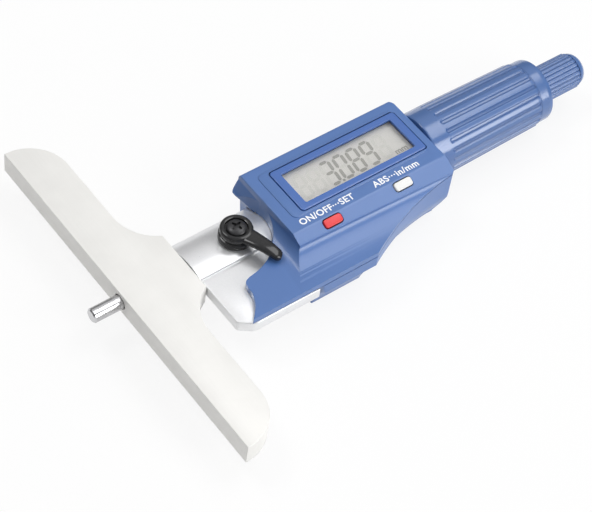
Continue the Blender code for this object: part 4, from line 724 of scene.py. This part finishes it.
screw_way = [
    (BACK - OVERCUT, 0), (BACK - OVERCUT, SCREW_SEAT), (BACK + SCREW_DEPTH, SCREW_SEAT),
    (BACK + SCREW_DEPTH, SCREW_HOLE), (BACK + HOLE_DEPTH, SCREW_HOLE), (BACK + HOLE_DEPTH, 0)]
for name, centre in SCREWS.items():
    steps.append(tool(f"rear_seat_{name}", upright(turned(screw_way, 40), centre)))
carve(rear, *steps, crease=25)
rear.data.materials.append(blue)
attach(rear, "frame")
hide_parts("rear_cover")

# Bezel: a glossier blue frame, pressed into the front cover from inside. A clear sheet and
# the grey display lie in its pocket, and the display's figures are thin dark segments.
WINDOW = (33.9, 10.2)
BEZEL_TOP = FACE + 0.3
BEZEL_DEPTH = 1.9
FLANGE_THICKNESS = 0.8
FLANGE_SPREAD = 1.6
FLANGE_LOW = FACE - WALL - CLEARANCE - FLANGE_THICKNESS
LEDGE = 0.8
LEDGE_DEPTH = 0.45
PANE_GAP = 0.2
WINDOW_TOP = BEZEL_TOP - LEDGE_DEPTH - PANE_GAP
WINDOW_THICKNESS = 0.7
GLASS_TOP = WINDOW_TOP - WINDOW_THICKNESS - PANE_GAP
GLASS_THICKNESS = 1.0
PANE = (WINDOW[0] + 2 * LEDGE - 2 * CLEARANCE, WINDOW[1] + 2 * LEDGE - 2 * CLEARANCE)

bezel_blue = plastic("bezel_blue", linear(66, 106, 178), 0.24, 0.02, Coat_Weight=0.5,
                     Coat_Roughness=0.15)
bezel_outline = rectangle(DISPLAY, *BEZEL, BEZEL_CORNER, 8)
bezel = solid("bezel_dressed", *slab(bezel_outline, rims(BEZEL_TOP - BEZEL_DEPTH, BEZEL_TOP, 0.22, 5)))
flange = rectangle(DISPLAY, BEZEL[0], BEZEL[1] + FLANGE_SPREAD, BEZEL_CORNER)
opening = rectangle(DISPLAY, *WINDOW, 0.3)
pocket = rectangle(DISPLAY, WINDOW[0] + 2 * LEDGE, WINDOW[1] + 2 * LEDGE, 0.3)
opening_levels = [(4, 0), (BEZEL_TOP - 0.3, 0), (BEZEL_TOP + 0.01, -0.12), (12, -0.12)]
carve(bezel,
      tool("bezel_flange", slab(flange, [(FLANGE_LOW, 0), (FLANGE_LOW + FLANGE_THICKNESS, 0)]), "UNION"),
      tool("bezel_opening", slab(opening, opening_levels)),
      tool("bezel_pocket", slab(pocket, [(4, 0), (BEZEL_TOP - LEDGE_DEPTH, 0)])))
bezel.data.materials.append(bezel_blue)
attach(bezel, "frame")
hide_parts("display_bezel")

clear, shader, place = finish("clear_window", Roughness=0.04, IOR=1.49)
smears = noise(place, 120.0, 3.0)
drive(shader, "Base Color", tint(smears, (0.9, 0.91, 0.92), (1.0, 1.0, 1.0)))
drive(shader, "Alpha", 0.06 + 0.03 * smears)
sheet = rectangle(DISPLAY, *PANE, 0.2)
window = solid("window_dressed", *slab(sheet, rims(WINDOW_TOP - WINDOW_THICKNESS, WINDOW_TOP, 0.05, 3)))
window.data.materials.append(clear)
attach(window, "frame")
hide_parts("display_window")

grey, shader, place = finish("display_grey", Coat_Weight=0.3)
speckle = noise(place, 4000.0, 1.0)
cloud = noise(place, 60.0, 1.0)
paint(shader, cloud * 0.7 + speckle * 0.3, linear(204, 202, 196), linear(212, 210, 205),
      0.3 + 0.1 * speckle)
glass = solid("display_dressed", *slab(sheet, rims(GLASS_TOP - GLASS_THICKNESS, GLASS_TOP, 0.05, 3)))
glass.data.materials.append(grey)
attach(glass, "frame")
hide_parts("display_glass")

# Figures of the display: seven slanted segments to a digit. Lit ones are dark and the others
# a faint trace, all printed in thin plates that stand clear of the grey display.
DIGIT_HEIGHT = 7.0
DIGIT_WIDTH = 2.6
DIGIT_PITCH = 4.1
DIGIT_SLANT = 0.12
SEGMENT = 0.88
SEGMENT_GAP = 0.14
FIRST_DIGIT = -15.5
FIGURES_CLEAR = 0.02
POINT_PLACE = (-0.75, -0.1)
POINT_SIZE = 0.7
UNIT_PLACE = (14.3, -3.3)
UNIT_SIZE = 2.5
SHOWN = "  3.089 "
SEGMENTS_LIT = {" ": "", "3": "abgcd", "0": "abcdef", "8": "abcdefg", "9": "abgfcd"}


def segment_bar(start, end):
    """A six-sided bar between two points, its ends cut to points, as counterclockwise corners."""
    start, end = np.asarray(start, float), np.asarray(end, float)
    u = (end - start) / np.linalg.norm(end - start)
    v = np.array([-u[1], u[0]])
    half = SEGMENT / 2
    a, b = start + u * SEGMENT_GAP, end - u * SEGMENT_GAP
    along, out = u * half, v * half
    return np.array([a, a + along - out, b - along - out, b, b - along + out, a + along + out])


def digit_bars(left):
    """The seven bars of a digit whose lower left corner is at the given distance, by letter."""
    w, h = DIGIT_WIDTH, DIGIT_HEIGHT
    ends = {"a": ((0, h), (w, h)), "b": ((w, h), (w, h / 2)), "c": ((w, h / 2), (w, 0)),
            "d": ((0, 0), (w, 0)), "e": ((0, h / 2), (0, 0)), "f": ((0, h), (0, h / 2)),
            "g": ((0, h / 2), (w, h / 2))}
    bars = {}
    for letter, (start, end) in ends.items():
        bar = segment_bar(start, end)
        bars[letter] = bar + np.column_stack([left + DIGIT_SLANT * bar[:, 1], np.zeros(len(bar))])
    return bars


def figures(name, outlines, thickness, tone):
    """Flat printed shapes: each outline in plan becomes a closed plate over the display."""
    base = GLASS_TOP + FIGURES_CLEAR
    middle = np.array([DISPLAY[0], DISPLAY[1] - DIGIT_HEIGHT / 2])
    points, faces, first = [], [], 0
    for outline in outlines:
        plate_points, plate_faces = slab(outline + middle, [(base, 0), (base + thickness, 0)])
        points.append(plate_points)
        faces += [[index + first for index in face] for face in plate_faces]
        first += len(plate_points)
    made = solid(name, np.vstack(points), faces)
    made.data.materials.append(tone)
    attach(made, "frame")


def ink(name, colour, roughness):
    """A printed or etched layer: even colour with a fine unevenness in tone and gloss."""
    made, shader, place = finish(name)
    fleck = noise(place, 5200.0, 1.0)
    paint(shader, fleck, colour, tuple(min(c * 1.12, 1.0) for c in colour), roughness + 0.1 * fleck)
    return made


lit = ink("display_figures", linear(138, 137, 130), 0.4)
trace = ink("display_traces", linear(193, 192, 186), 0.4)
shown, unlit = [], []
left = FIRST_DIGIT
for mark in SHOWN:
    if mark == ".":
        continue
    for letter, bar in digit_bars(left).items():
        (shown if letter in SEGMENTS_LIT[mark] else unlit).append(bar)
    left += DIGIT_PITCH
point_x = FIRST_DIGIT + SHOWN.index(".") * DIGIT_PITCH + POINT_PLACE[0]
shown.append(rectangle((point_x, POINT_PLACE[1]), POINT_SIZE, POINT_SIZE, 0.1, 2))
figures("display_figures", shown, 0.03, lit)
figures("display_traces", unlit, 0.02, trace)


def printed(name, text, size, middle, height, tone, spacing, bold):
    """Words in the default typeface, made a flat mesh and laid on a level face. Its width
    runs along X, and its middle is at the given place."""
    curve = bpy.data.curves.new(name, "FONT")
    curve.body = text
    curve.size = size * MM
    curve.space_character = spacing
    curve.offset = bold * MM
    curve.extrude = 0.01 * MM
    curve.resolution_u = 4
    curve.align_x = "CENTER"
    curve.align_y = "CENTER"
    words = bpy.data.objects.new(name, curve)
    bpy.context.scene.collection.objects.link(words)
    graph = bpy.context.evaluated_depsgraph_get()
    mesh = bpy.data.meshes.new_from_object(words.evaluated_get(graph))
    bpy.data.objects.remove(words)
    mesh.transform(Matrix.Translation(Vector(to_frame((*middle, height)))))
    made = bpy.data.objects.new(name, mesh)
    bpy.context.scene.collection.objects.link(made)
    mesh.materials.clear()
    mesh.materials.append(tone)
    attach(made, "frame")


unit_middle = (DISPLAY[0] + UNIT_PLACE[0], DISPLAY[1] + UNIT_PLACE[1])
printed("display_unit", "mm", UNIT_SIZE, unit_middle, GLASS_TOP + 0.06, lit, 1.0, 0.05)

# Buttons: two moulded keys that stand 0.4 mm out of the sloping band, and the white words
# pad-printed above them.
BUTTON_PROUD = 0.4
WORDS_HEIGHT = 1.9
WORDS_SIZE = WORDS_HEIGHT * 1.35
WORDS_BOLD = 0.055
WORDS_RISE = FACE + 0.012
WORDS = {
    "power_words": ("ON/OFF···SET", (53.1, -9.1), 1.06),
    "mode_words": ("ABS···in/mm", (74.4, -9.2), 1.09),
}

red = plastic("red_button", linear(226, 58, 62), 0.34, 0.03)
pale = plastic("pale_button", linear(232, 232, 230), 0.36, 0.02)
white = ink("white_print", linear(244, 246, 250), 0.5)
for name, tone, slot in (("power", red, "red_button"), ("mode", pale, "pale_button")):
    key = rectangle((0, 0), *BUTTON, BUTTON_CORNER, 8)
    points, faces = slab(key, rims(-BUTTON_DEPTH, BUTTON_PROUD, 0.22, 5))
    button = solid(f"{name}_dressed", on_band(points, BUTTONS[name]), faces)
    button.data.materials.append(tone)
    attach(button, name)
    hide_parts(f"{name}_button")
for name, (words, middle, spacing) in WORDS.items():
    printed(name, words, WORDS_SIZE, middle, WORDS_RISE, white, spacing, WORDS_BOLD)

# Lock: a black lacquered lever on a round hub, its arm narrowing to a rounded tip, held by a
# black screw with a domed cross head over a steel washer.
LEVER_LOW, LEVER_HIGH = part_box("lock_lever")
HUB_BOTTOM = (LEVER_LOW.z - ORIGIN[2]) / MM
HUB_TOP = (LEVER_HIGH.z - ORIGIN[2]) / MM
HUB_RADIUS = 4.1
FLANGE_RADIUS = 4.35
FLANGE_BORE = 3.5
FLANGE_BOTTOM = half_base + CLEARANCE
RECESS_RADIUS = 2.8
RECESS_DEPTH = 0.8
LEVER_REACH = 13.1
LEVER_ROOT = 4.8
LEVER_TIP = 3.1
LEVER_THICKNESS = 1.8
ARM_ROOT = 3.2
LEVER_DROOP = 0.7
LEVER_ANGLE = math.radians(-70.6)
LEVER_STRAIGHT = 0.86
LEVER_BORE = 1.45
SCREW_LOW = (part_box("lock_screw")[0].z - ORIGIN[2]) / MM
HEAD_RADIUS = 2.5
HEAD_HEIGHT = 1.1
SHANK_RADIUS = 1.15
CROSS_REACH = 1.45
CROSS_DEPTH = 0.75
CROSS_TURN = 0.35

lacquer, shader, place = finish("black_lacquer", Specular_IOR_Level=0.25, Coat_Weight=0.45,
                                Coat_Roughness=0.05)
peel = noise(place, 1100.0, 1.0)
paint(shader, peel, (0.010, 0.010, 0.011), (0.022, 0.022, 0.024), 0.14 + 0.08 * peel)
bump(shader, peel, 0.000006, 0.4, 0.0002)

recess_floor = HUB_TOP - RECESS_DEPTH
hub_profile = [
    (HUB_BOTTOM, LEVER_BORE), (HUB_BOTTOM, FLANGE_BORE), (FLANGE_BOTTOM, FLANGE_BORE),
    (FLANGE_BOTTOM, FLANGE_RADIUS - 0.1), (FLANGE_BOTTOM + 0.1, FLANGE_RADIUS),
    (HUB_BOTTOM - 0.25, FLANGE_RADIUS), (HUB_BOTTOM, FLANGE_RADIUS - 0.1),
    (HUB_BOTTOM + 0.12, HUB_RADIUS - 0.2), (HUB_BOTTOM + 0.3, HUB_RADIUS - 0.1),
    (HUB_BOTTOM + 0.5, HUB_RADIUS), (HUB_TOP - 0.55, HUB_RADIUS), (HUB_TOP - 0.25, HUB_RADIUS - 0.12),
    (HUB_TOP - 0.07, HUB_RADIUS - 0.38), (HUB_TOP, HUB_RADIUS - 0.75),
    (HUB_TOP - 0.03, RECESS_RADIUS + 0.3), (HUB_TOP - 0.12, RECESS_RADIUS + 0.08),
    (HUB_TOP - 0.3, RECESS_RADIUS), (recess_floor, RECESS_RADIUS), (recess_floor, LEVER_BORE)]
lever = solid("lever_dressed", *upright(turned(hub_profile, 96, closed=True), LOCK), crease=40)


def lever_arm():
    """The arm as ellipse-like sections along its length: half width and half thickness shrink
    from the root to the tip, the middle rises and dips a little, and the last rows close it."""
    rounding = 1 - LEVER_STRAIGHT
    near_tip = 1 - rounding * (1 - np.sin(np.linspace(0.1, 1, 14) * math.pi / 2))
    s = np.concatenate([np.linspace(0, LEVER_STRAIGHT, 30), near_tip])
    a = np.linspace(0, 2 * math.pi, 48, endpoint=False)
    along = ARM_ROOT + (LEVER_REACH - ARM_ROOT) * s
    narrow = LEVER_ROOT + (LEVER_TIP - LEVER_ROOT) * np.clip(s / LEVER_STRAIGHT, 0, 1)
    tip = np.sqrt(np.clip(1 - (np.clip(s - LEVER_STRAIGHT, 0, None) / rounding) ** 2, 0, 1))
    half_width = narrow / 2 * tip
    half_depth = LEVER_THICKNESS / 2 * (0.35 + 0.65 * tip)
    droop = np.clip((s - 0.45) / 0.55, 0, 1)
    middle = (HUB_BOTTOM + HUB_TOP) / 2 + 0.3 * np.sin(s * math.pi) - LEVER_DROOP * droop * droop
    flat = np.sign(np.cos(a)) * np.abs(np.cos(a)) ** 0.75
    tall = np.sign(np.sin(a)) * np.abs(np.sin(a)) ** 0.65
    x = np.repeat(along, len(a))
    y = (half_width[:, None] * flat).ravel()
    z = (middle[:, None] + half_depth[:, None] * tall).ravel()
    cosine, sine = math.cos(LEVER_ANGLE), math.sin(LEVER_ANGLE)
    plan = np.column_stack([x, y]) @ np.array([[cosine, -sine], [sine, cosine]]).T + LOCK
    return np.column_stack([plan, z]), closed_faces(len(s), len(a))


carve(lever, tool("lever_arm", lever_arm(), "UNION"), crease=40)
lever.data.materials.append(lacquer)
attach(lever, "lock")
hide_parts("lock_lever")

head_low = HUB_TOP - RECESS_DEPTH + 0.2
head_turn = np.radians(np.linspace(0, 90, 9))[:-1]
screw_profile = [(SCREW_LOW, 0), (SCREW_LOW, SHANK_RADIUS), (head_low, SHANK_RADIUS), (head_low, HEAD_RADIUS)]
for angle in head_turn:
    rise = HEAD_HEIGHT * (0.25 + 0.75 * math.sin(angle))
    screw_profile.append((head_low + rise, HEAD_RADIUS * math.cos(angle)))
screw_profile.append((head_low + HEAD_HEIGHT, 0))


def cross(name, centre, face, depth, reach, width, turn=0.0):
    """A cross-shaped tool with tapered arms, cut down from a face. Its corners lie at the four
    arms' ends and in the four inner corners."""
    star = []
    for quarter in range(4):
        angle = turn + quarter * math.pi / 2
        u = np.array([math.cos(angle), math.sin(angle)])
        v = np.array([-u[1], u[0]])
        star += [u * reach - v * width * 0.4, u * reach + v * width * 0.4, (u + v) * width * 0.62]
    outline = np.array(star) + centre
    low, high = sorted((face, face + depth))
    return tool(name, slab(outline, [(low, 0), (high, 0)]))


lock_screw = solid("lock_screw_dressed", *upright(turned(screw_profile, 64), LOCK), crease=40)
cross_floor = head_low + HEAD_HEIGHT - CROSS_DEPTH
lock_cross = cross("lock_cross", LOCK, cross_floor, 2, CROSS_REACH, 0.7, CROSS_TURN)
carve(lock_screw, lock_cross, crease=40)
oxide, shader, place = finish("black_oxide", metallic=0.25)
soot = noise(place, 1500.0, 2.0)
paint(shader, soot, linear(40, 40, 42), linear(62, 62, 65), 0.28 + 0.12 * soot)
lock_screw.data.materials.append(oxide)
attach(lock_screw, "lock")
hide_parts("lock_screw")

# Thimble: moulded in the same blue plastic, a plain collar, 22 long grooves with rounded ends
# and a plain nose ring.
THIMBLE_START = 89.4
THIMBLE_END = 129.2
THIMBLE_RADIUS = 9.4
NOSE_RADIUS = 5.6
NOSE_END = 129.4
THIMBLE_TAPER = 0.016
GROOVES = 22
GROOVE_PHASE = math.radians(86.4)
GROOVE_START = 94.6
GROOVE_END = 125.0
RING_STEP = 0.35
RIB_DEPTH = 0.6
GROOVE_HALF = 0.72
GROOVE_FLOOR = 0.35
GROOVE_POINTS = 18
GROOVE_ROUNDING = 0.3
BARREL_RADIUS = 7.3
NOSE_BORE = 5.0
HUB_BORE = 3.4
HUB_SPAN = (120.4, 124.4)

sleek = plastic("thimble_blue", linear(74, 108, 164), 0.24, 0.02, Coat_Weight=0.6, Coat_Roughness=0.1)


def thimble_skin():
    """Outer radius over a grid of places along and around. From a groove's middle line it
    rises by a smooth step over its half width, where the distance to that line is measured
    round its start too, so that it starts as a half circle. It runs out into the nose ring."""
    start, end, full = THIMBLE_START, THIMBLE_END, THIMBLE_RADIUS
    ring = full - RING_STEP
    head = np.array([(start, full - 0.35), (start + 0.1, full - 0.12), (start + 0.35, full)])
    foot = np.array([
        (GROOVE_END + 0.12, ring - 0.1), (GROOVE_END + 0.3, ring - 0.1), (GROOVE_END + 0.42, ring),
        (end - 1.4, ring), (end - 0.4, ring), (end - 0.12, ring - 0.1), (end, ring - 0.3),
        (end + 0.1, ring - 1.0), (NOSE_END, NOSE_RADIUS)])
    quarter = np.sin(np.linspace(0, math.pi / 2, 5))
    x = np.concatenate([
        np.linspace(start + 0.6, GROOVE_START - 0.2, 8), np.linspace(GROOVE_START, GROOVE_START + 1.4, 13),
        np.linspace(GROOVE_START + 3, GROOVE_END - 1.0, 12), GROOVE_END - GROOVE_ROUNDING * (1 - quarter)])
    count = GROOVES * GROOVE_POINTS
    angle = GROOVE_PHASE + np.linspace(0, 2 * math.pi, count, endpoint=False)
    off = (np.arange(count) + GROOVE_POINTS // 2) % GROOVE_POINTS - GROOVE_POINTS // 2
    across = off / GROOVE_POINTS * 2 * math.pi / GROOVES * full
    beyond = np.clip(GROOVE_START + GROOVE_HALF - x, 0, None)
    distance = np.hypot(beyond[:, None], across[None, :])
    share = np.clip((distance / GROOVE_HALF - GROOVE_FLOOR) / (1 - GROOVE_FLOOR), 0, 1)
    radius = full - RIB_DEPTH * (1 - share * share * (3 - 2 * share))
    near_end = np.clip(x - GROOVE_END + GROOVE_ROUNDING, 0, GROOVE_ROUNDING)
    end_round = GROOVE_ROUNDING - np.sqrt(np.clip(GROOVE_ROUNDING**2 - near_end**2, 0, None))
    radius = np.maximum(radius - end_round[:, None], full - RIB_DEPTH)
    xs = np.concatenate([head[:, 0], x, foot[:, 0]])
    plain = np.ones(count)
    radii = np.vstack([head[:, 1:] * plain, radius, foot[:, 1:] * plain])
    return xs, radii - THIMBLE_TAPER * np.clip(xs - GROOVE_START, 0, None)[:, None], angle


def lined(xs, radii, angle, inside):
    """A skin of radii over a grid, closed by the plain rings of the profile inside it."""
    inside = np.asarray(inside, float)
    radii = np.vstack([radii, inside[:, 1:] * np.ones(len(angle))])
    return swept(np.concatenate([xs, inside[:, 0]]), radii, angle, closed=True)


inside = [(NOSE_END, NOSE_BORE), (HUB_SPAN[1], NOSE_BORE), (HUB_SPAN[1], HUB_BORE),
          (HUB_SPAN[0], HUB_BORE), (HUB_SPAN[0], BARREL_RADIUS), (THIMBLE_START, BARREL_RADIUS)]
thimble = solid("thimble_dressed", *lined(*thimble_skin(), inside), crease=38)
thimble.data.materials.append(sleek)
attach(thimble, "spindle")
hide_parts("thimble")

# Ratchet knob and its end cap: fine ribs round the knob, and a plain domed cap pressed into
# it. Inside, the knob has a web that turns on the ratchet's stem.
KNOB_START = 129.9
KNOB_END = 142.4
KNOB_RADIUS = 4.9
KNOB_RIBS = 24
KNOB_RIB_DEPTH = 0.4
KNOB_RIB_PHASE = math.radians(2.8)
KNOB_RIB_POINTS = 12
KNOB_ROUNDING = 0.3
KNOB_BORE = 3.7
KNOB_WEB = (135.9, 136.9)
STEM_BORE = 2.0
CAP_LENGTH = 2.6


def knob_skin():
    """Radius over places along and around: rounded ribs between narrow grooves, rounded off
    at both ends."""
    quarter = np.linspace(0, math.pi / 2, 5)
    x = np.concatenate([
        KNOB_START + KNOB_ROUNDING * (1 - np.cos(quarter)), np.linspace(KNOB_START + 0.8, KNOB_END - 0.8, 8),
        KNOB_END - KNOB_ROUNDING * (1 - np.sin(quarter))])
    count = KNOB_RIBS * KNOB_RIB_POINTS
    angle = KNOB_RIB_PHASE + np.linspace(0, 2 * math.pi, count, endpoint=False)
    wave = np.abs(np.sin((angle - KNOB_RIB_PHASE) * KNOB_RIBS / 2)) ** 0.55
    shrink = 0
    for inwards in (x - KNOB_START, KNOB_END - x):
        short = 1 - np.clip(inwards / KNOB_ROUNDING, 0, 1)
        shrink = shrink + KNOB_ROUNDING * (1 - np.sqrt(1 - short**2))
    return x, KNOB_RADIUS - shrink[:, None] - KNOB_RIB_DEPTH * (1 - wave)[None, :], angle


inside = [(KNOB_END, KNOB_BORE), (KNOB_WEB[1], KNOB_BORE), (KNOB_WEB[1], STEM_BORE),
          (KNOB_WEB[0], STEM_BORE), (KNOB_WEB[0], KNOB_BORE), (KNOB_START, KNOB_BORE)]
knob = solid("knob_dressed", *lined(*knob_skin(), inside), crease=38)
knob.data.materials.append(sleek)
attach(knob, "ratchet")
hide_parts("ratchet_knob")

cap_face = KNOB_END + CLEARANCE
cap_radius = KNOB_RADIUS - KNOB_RIB_DEPTH
plug_radius = KNOB_BORE - CLEARANCE
cap_rim = 0.12
cap_profile = [(KNOB_END - 0.8, 0), (KNOB_END - 0.8, plug_radius), (cap_face, plug_radius),
               (cap_face, cap_radius - cap_rim), (cap_face + cap_rim, cap_radius)]
for angle in np.radians(np.linspace(0, 78, 14))[1:]:
    along = cap_face + cap_rim + (CAP_LENGTH - cap_rim) * math.sin(angle) ** 1.15
    cap_profile.append((along, cap_radius * math.cos(angle) ** 0.55))
cap_profile.append((cap_face + CAP_LENGTH, 0))
knob_cap = solid("knob_cap_dressed", *turned(cap_profile, 96), crease=38)
knob_cap.data.materials.append(sleek)
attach(knob_cap, "ratchet")
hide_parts("knob_end_cap")

# Back of the housing: four steel cross-headed screws, level with the rear cover's back, and
# the battery cap, slotted for a coin.
CAP_RADIUS = 6.6
CAP_PLUG = 0.7
COIN_SLOT = (9.0, 1.4, 0.6)
SCREW_HEAD = 0.9
SCREW_RADIUS = 1.3
SCREW_SHANK = 0.7

for name, centre in SCREWS.items():
    tip = (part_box(f"cover_screw_{name}")[1].z - ORIGIN[2]) / MM
    profile = [
        (BACK, 0), (BACK, SCREW_RADIUS - 0.2), (BACK + 0.08, SCREW_RADIUS - 0.06),
        (BACK + 0.25, SCREW_RADIUS), (BACK + SCREW_HEAD, SCREW_RADIUS),
        (BACK + SCREW_HEAD, SCREW_SHANK), (tip, SCREW_SHANK), (tip, 0)]
    screw = solid(f"screw_{name}_dressed", *upright(turned(profile, 40), centre), crease=35)
    carve(screw, cross(f"cross_{name}", centre, BACK + 0.45, -2, 0.85, 0.4), crease=35)
    screw.data.materials.append(steel)
    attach(screw, "frame")
    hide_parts(f"cover_screw_{name}")

profile = [
    (BACK, 0), (BACK, CAP_RADIUS - 0.2), (BACK + 0.06, CAP_RADIUS - 0.06), (BACK + 0.2, CAP_RADIUS),
    (BACK + 0.4, CAP_RADIUS), (BACK + 0.4, CAP_RADIUS - CAP_PLUG), (BACK + 1.6, CAP_RADIUS - CAP_PLUG),
    (BACK + 1.6, 0)]
cover = solid("battery_cap_dressed", *upright(turned(profile, 96), BATTERY_CENTRE))
coin = rectangle(BATTERY_CENTRE, COIN_SLOT[0], COIN_SLOT[1], 0.69)
carve(cover, tool("coin_slot", slab(coin, [(BACK - OVERCUT, 0), (BACK + COIN_SLOT[2], 0)])))
cover.data.materials.append(blue)
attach(cover, "battery_cover")
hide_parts("battery_cap")

# Everything inside or half hidden keeps its shape from the frame and gets its own finish:
# ground steel, brass, green board, black rubber and blue plastic.
brass, shader, place = finish("brass", metallic=1.0)
swirl = noise(place, 700.0, 2.0, (1, 0.2, 0.2))
paint(shader, swirl, linear(190, 150, 84), linear(222, 186, 118), 0.26 + 0.14 * swirl)

green, shader, place = finish("circuit_green")
apart = place.node("ShaderNodeTexVoronoi", {"feature": "DISTANCE_TO_EDGE"}, Vector=place, Scale=900.0)
tracks = 1 - apart * 3
paint(shader, tracks, linear(20, 78, 46), linear(30, 104, 62), 0.4 + 0.2 * apart)

rubber, shader, place = finish("black_rubber")
dust = noise(place, 1800.0, 2.0)
paint(shader, dust, (0.02, 0.02, 0.02), (0.05, 0.05, 0.05), 0.7 + 0.2 * dust)

INNER = {
    steel: ["base_dowel_upper", "base_dowel_lower", "lock_washer", "spindle_screw", "barrel", "wear_adjuster",
            "board_screw_upper", "board_screw_lower", "power_dome", "mode_dome", "battery", "ratchet_disc",
            "ratchet_spring", "ratchet_screw"],
    brass: ["lock_pad", "spindle_nut", "rod_seat_nut", "rod_lock_nut", "rotor_key", "battery_contact_leaf",
            "battery_contact_clip"],
    green: ["circuit_board", "encoder_stator", "encoder_rotor"],
    rubber: ["connector_strip_upper", "connector_strip_lower", "battery_cap_seal"],
    blue: ["rod_cap"],
}
for tone, names in INNER.items():
    for name in names:
        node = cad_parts[name]
        node.data.materials.clear()
        node.data.materials.append(tone)

# Table, backdrop and light: a white sweep that shows white to the camera and keeps a soft
# shadow, a studio that is dim near the horizon and bright overhead, and three soft boxes.
FLOOR_HALF = 2.0
HORIZON_LEVEL = 0.18
OVERHEAD_LEVEL = 0.5
BACK_LEVEL = 0.3
BACK_DIRECTION = (0.37, 0.53, 0.763)
BACK_SHARPNESS = 11.0
CAMERA_SHARE = 0.86
MIRROR_SHARE = 0.55
CAMERA_FOCAL_PIXELS = 2001.0
PHOTO_WIDTH = 592.0
SENSOR = 36.0
CAMERA_PLACE = (-166.7, -228.7, 374.9)
CAMERA_RIGHT = (0.7959, -0.5972, 0.0995)
CAMERA_DOWN = (-0.42, -0.663, -0.6197)
CAMERA_AHEAD = (0.436, 0.4514, -0.7785)

paper = bpy.data.materials.new("white_table")
paper.use_nodes = True
tree = paper.node_tree
tree.nodes.clear()
out = tree.nodes.new("ShaderNodeOutputMaterial")
rays = tree.nodes.new("ShaderNodeLightPath")
seen = Wire(tree, rays.outputs["Is Camera Ray"])
mirrored = Wire(tree, rays.outputs["Is Glossy Ray"])
through = Wire(tree, rays.outputs["Is Transmission Ray"])
plain = seen.node("ShaderNodeBsdfDiffuse", Color=(0.9, 0.9, 0.9, 1))
glow = seen.node("ShaderNodeEmission", Color=(1, 1, 1, 1), Strength=1.0)
share = seen.math("MAXIMUM", seen.math("MAXIMUM", seen, through) * CAMERA_SHARE, mirrored * MIRROR_SHARE)
mixed = seen.node("ShaderNodeMixShader", i0=share, i1=plain, i2=glow)
tree.links.new(mixed.socket, out.inputs["Surface"])
table_mesh = bpy.data.meshes.new("table")
floor = [(x * FLOOR_HALF, y * FLOOR_HALF, 0) for x, y in ((-1, -1), (1, -1), (1, 1), (-1, 1))]
table_mesh.from_pydata(floor, [], [(0, 1, 2, 3)])
table = bpy.data.objects.new("table", table_mesh)
bpy.context.scene.collection.objects.link(table)
table_mesh.materials.append(paper)

world = bpy.data.worlds.new("studio")
bpy.context.scene.world = world
world.use_nodes = True
tree = world.node_tree
sky = tree.nodes["Background"]
sky.inputs["Color"].default_value = (1, 1, 1, 1)
towards = Wire(tree, tree.nodes.new("ShaderNodeTexCoord").outputs["Generated"])
height = towards.node("ShaderNodeSeparateXYZ", output=2, i0=towards)
climb = height.node("ShaderNodeMapRange", {"interpolation_type": "SMOOTHSTEP"}, i0=height, i1=0.25, i2=0.75,
                    i3=HORIZON_LEVEL, i4=OVERHEAD_LEVEL)
facing = towards.node("ShaderNodeVectorMath", {"operation": "DOT_PRODUCT"}, output=1, i0=towards,
                      i1=BACK_DIRECTION)
glow_back = facing.math("POWER", facing.math("MAXIMUM", facing, 0.0), BACK_SHARPNESS) * BACK_LEVEL
to_eye = Wire(tree, tree.nodes.new("ShaderNodeLightPath").outputs["Is Camera Ray"])
tree.links.new(to_eye.math("MAXIMUM", climb + glow_back, to_eye).socket, sky.inputs["Strength"])


def soft_box(name, direction, distance, size, power):
    """A rectangular lamp at a distance from the object's middle, facing it."""
    data = bpy.data.lights.new(name, "AREA")
    data.shape = "RECTANGLE"
    data.size, data.size_y = size
    data.energy = power
    lamp = bpy.data.objects.new(name, data)
    bpy.context.scene.collection.objects.link(lamp)
    place = Vector(direction).normalized() * distance
    lamp.location = place
    lamp.rotation_euler = place.to_track_quat("Z", "Y").to_euler()


soft_box("right_high", (0.436, -0.078, 0.897), 1.4, (0.92, 0.64), 6.0)
soft_box("right_low", (0.436, -0.822, 0.366), 1.4, (0.6, 0.8), 10.4)
soft_box("left_high", (-0.25, 0.44, 0.86), 1.6, (0.5, 0.5), 5.2)

camera_data = bpy.data.cameras.new("camera")
camera_data.sensor_fit = "HORIZONTAL"
camera_data.sensor_width = SENSOR
camera_data.lens = CAMERA_FOCAL_PIXELS / PHOTO_WIDTH * SENSOR
camera_data.clip_start = 0.01
camera = bpy.data.objects.new("camera", camera_data)
bpy.context.scene.collection.objects.link(camera)
turn = np.column_stack([CAMERA_RIGHT, -np.array(CAMERA_DOWN), -np.array(CAMERA_AHEAD)])
placed = np.eye(4)
placed[:3, :3] = turn
placed[:3, 3] = to_frame(CAMERA_PLACE)
camera.matrix_world = Matrix(placed.tolist())
bpy.context.scene.camera = camera

bpy.context.scene.view_settings.view_transform = "Standard"
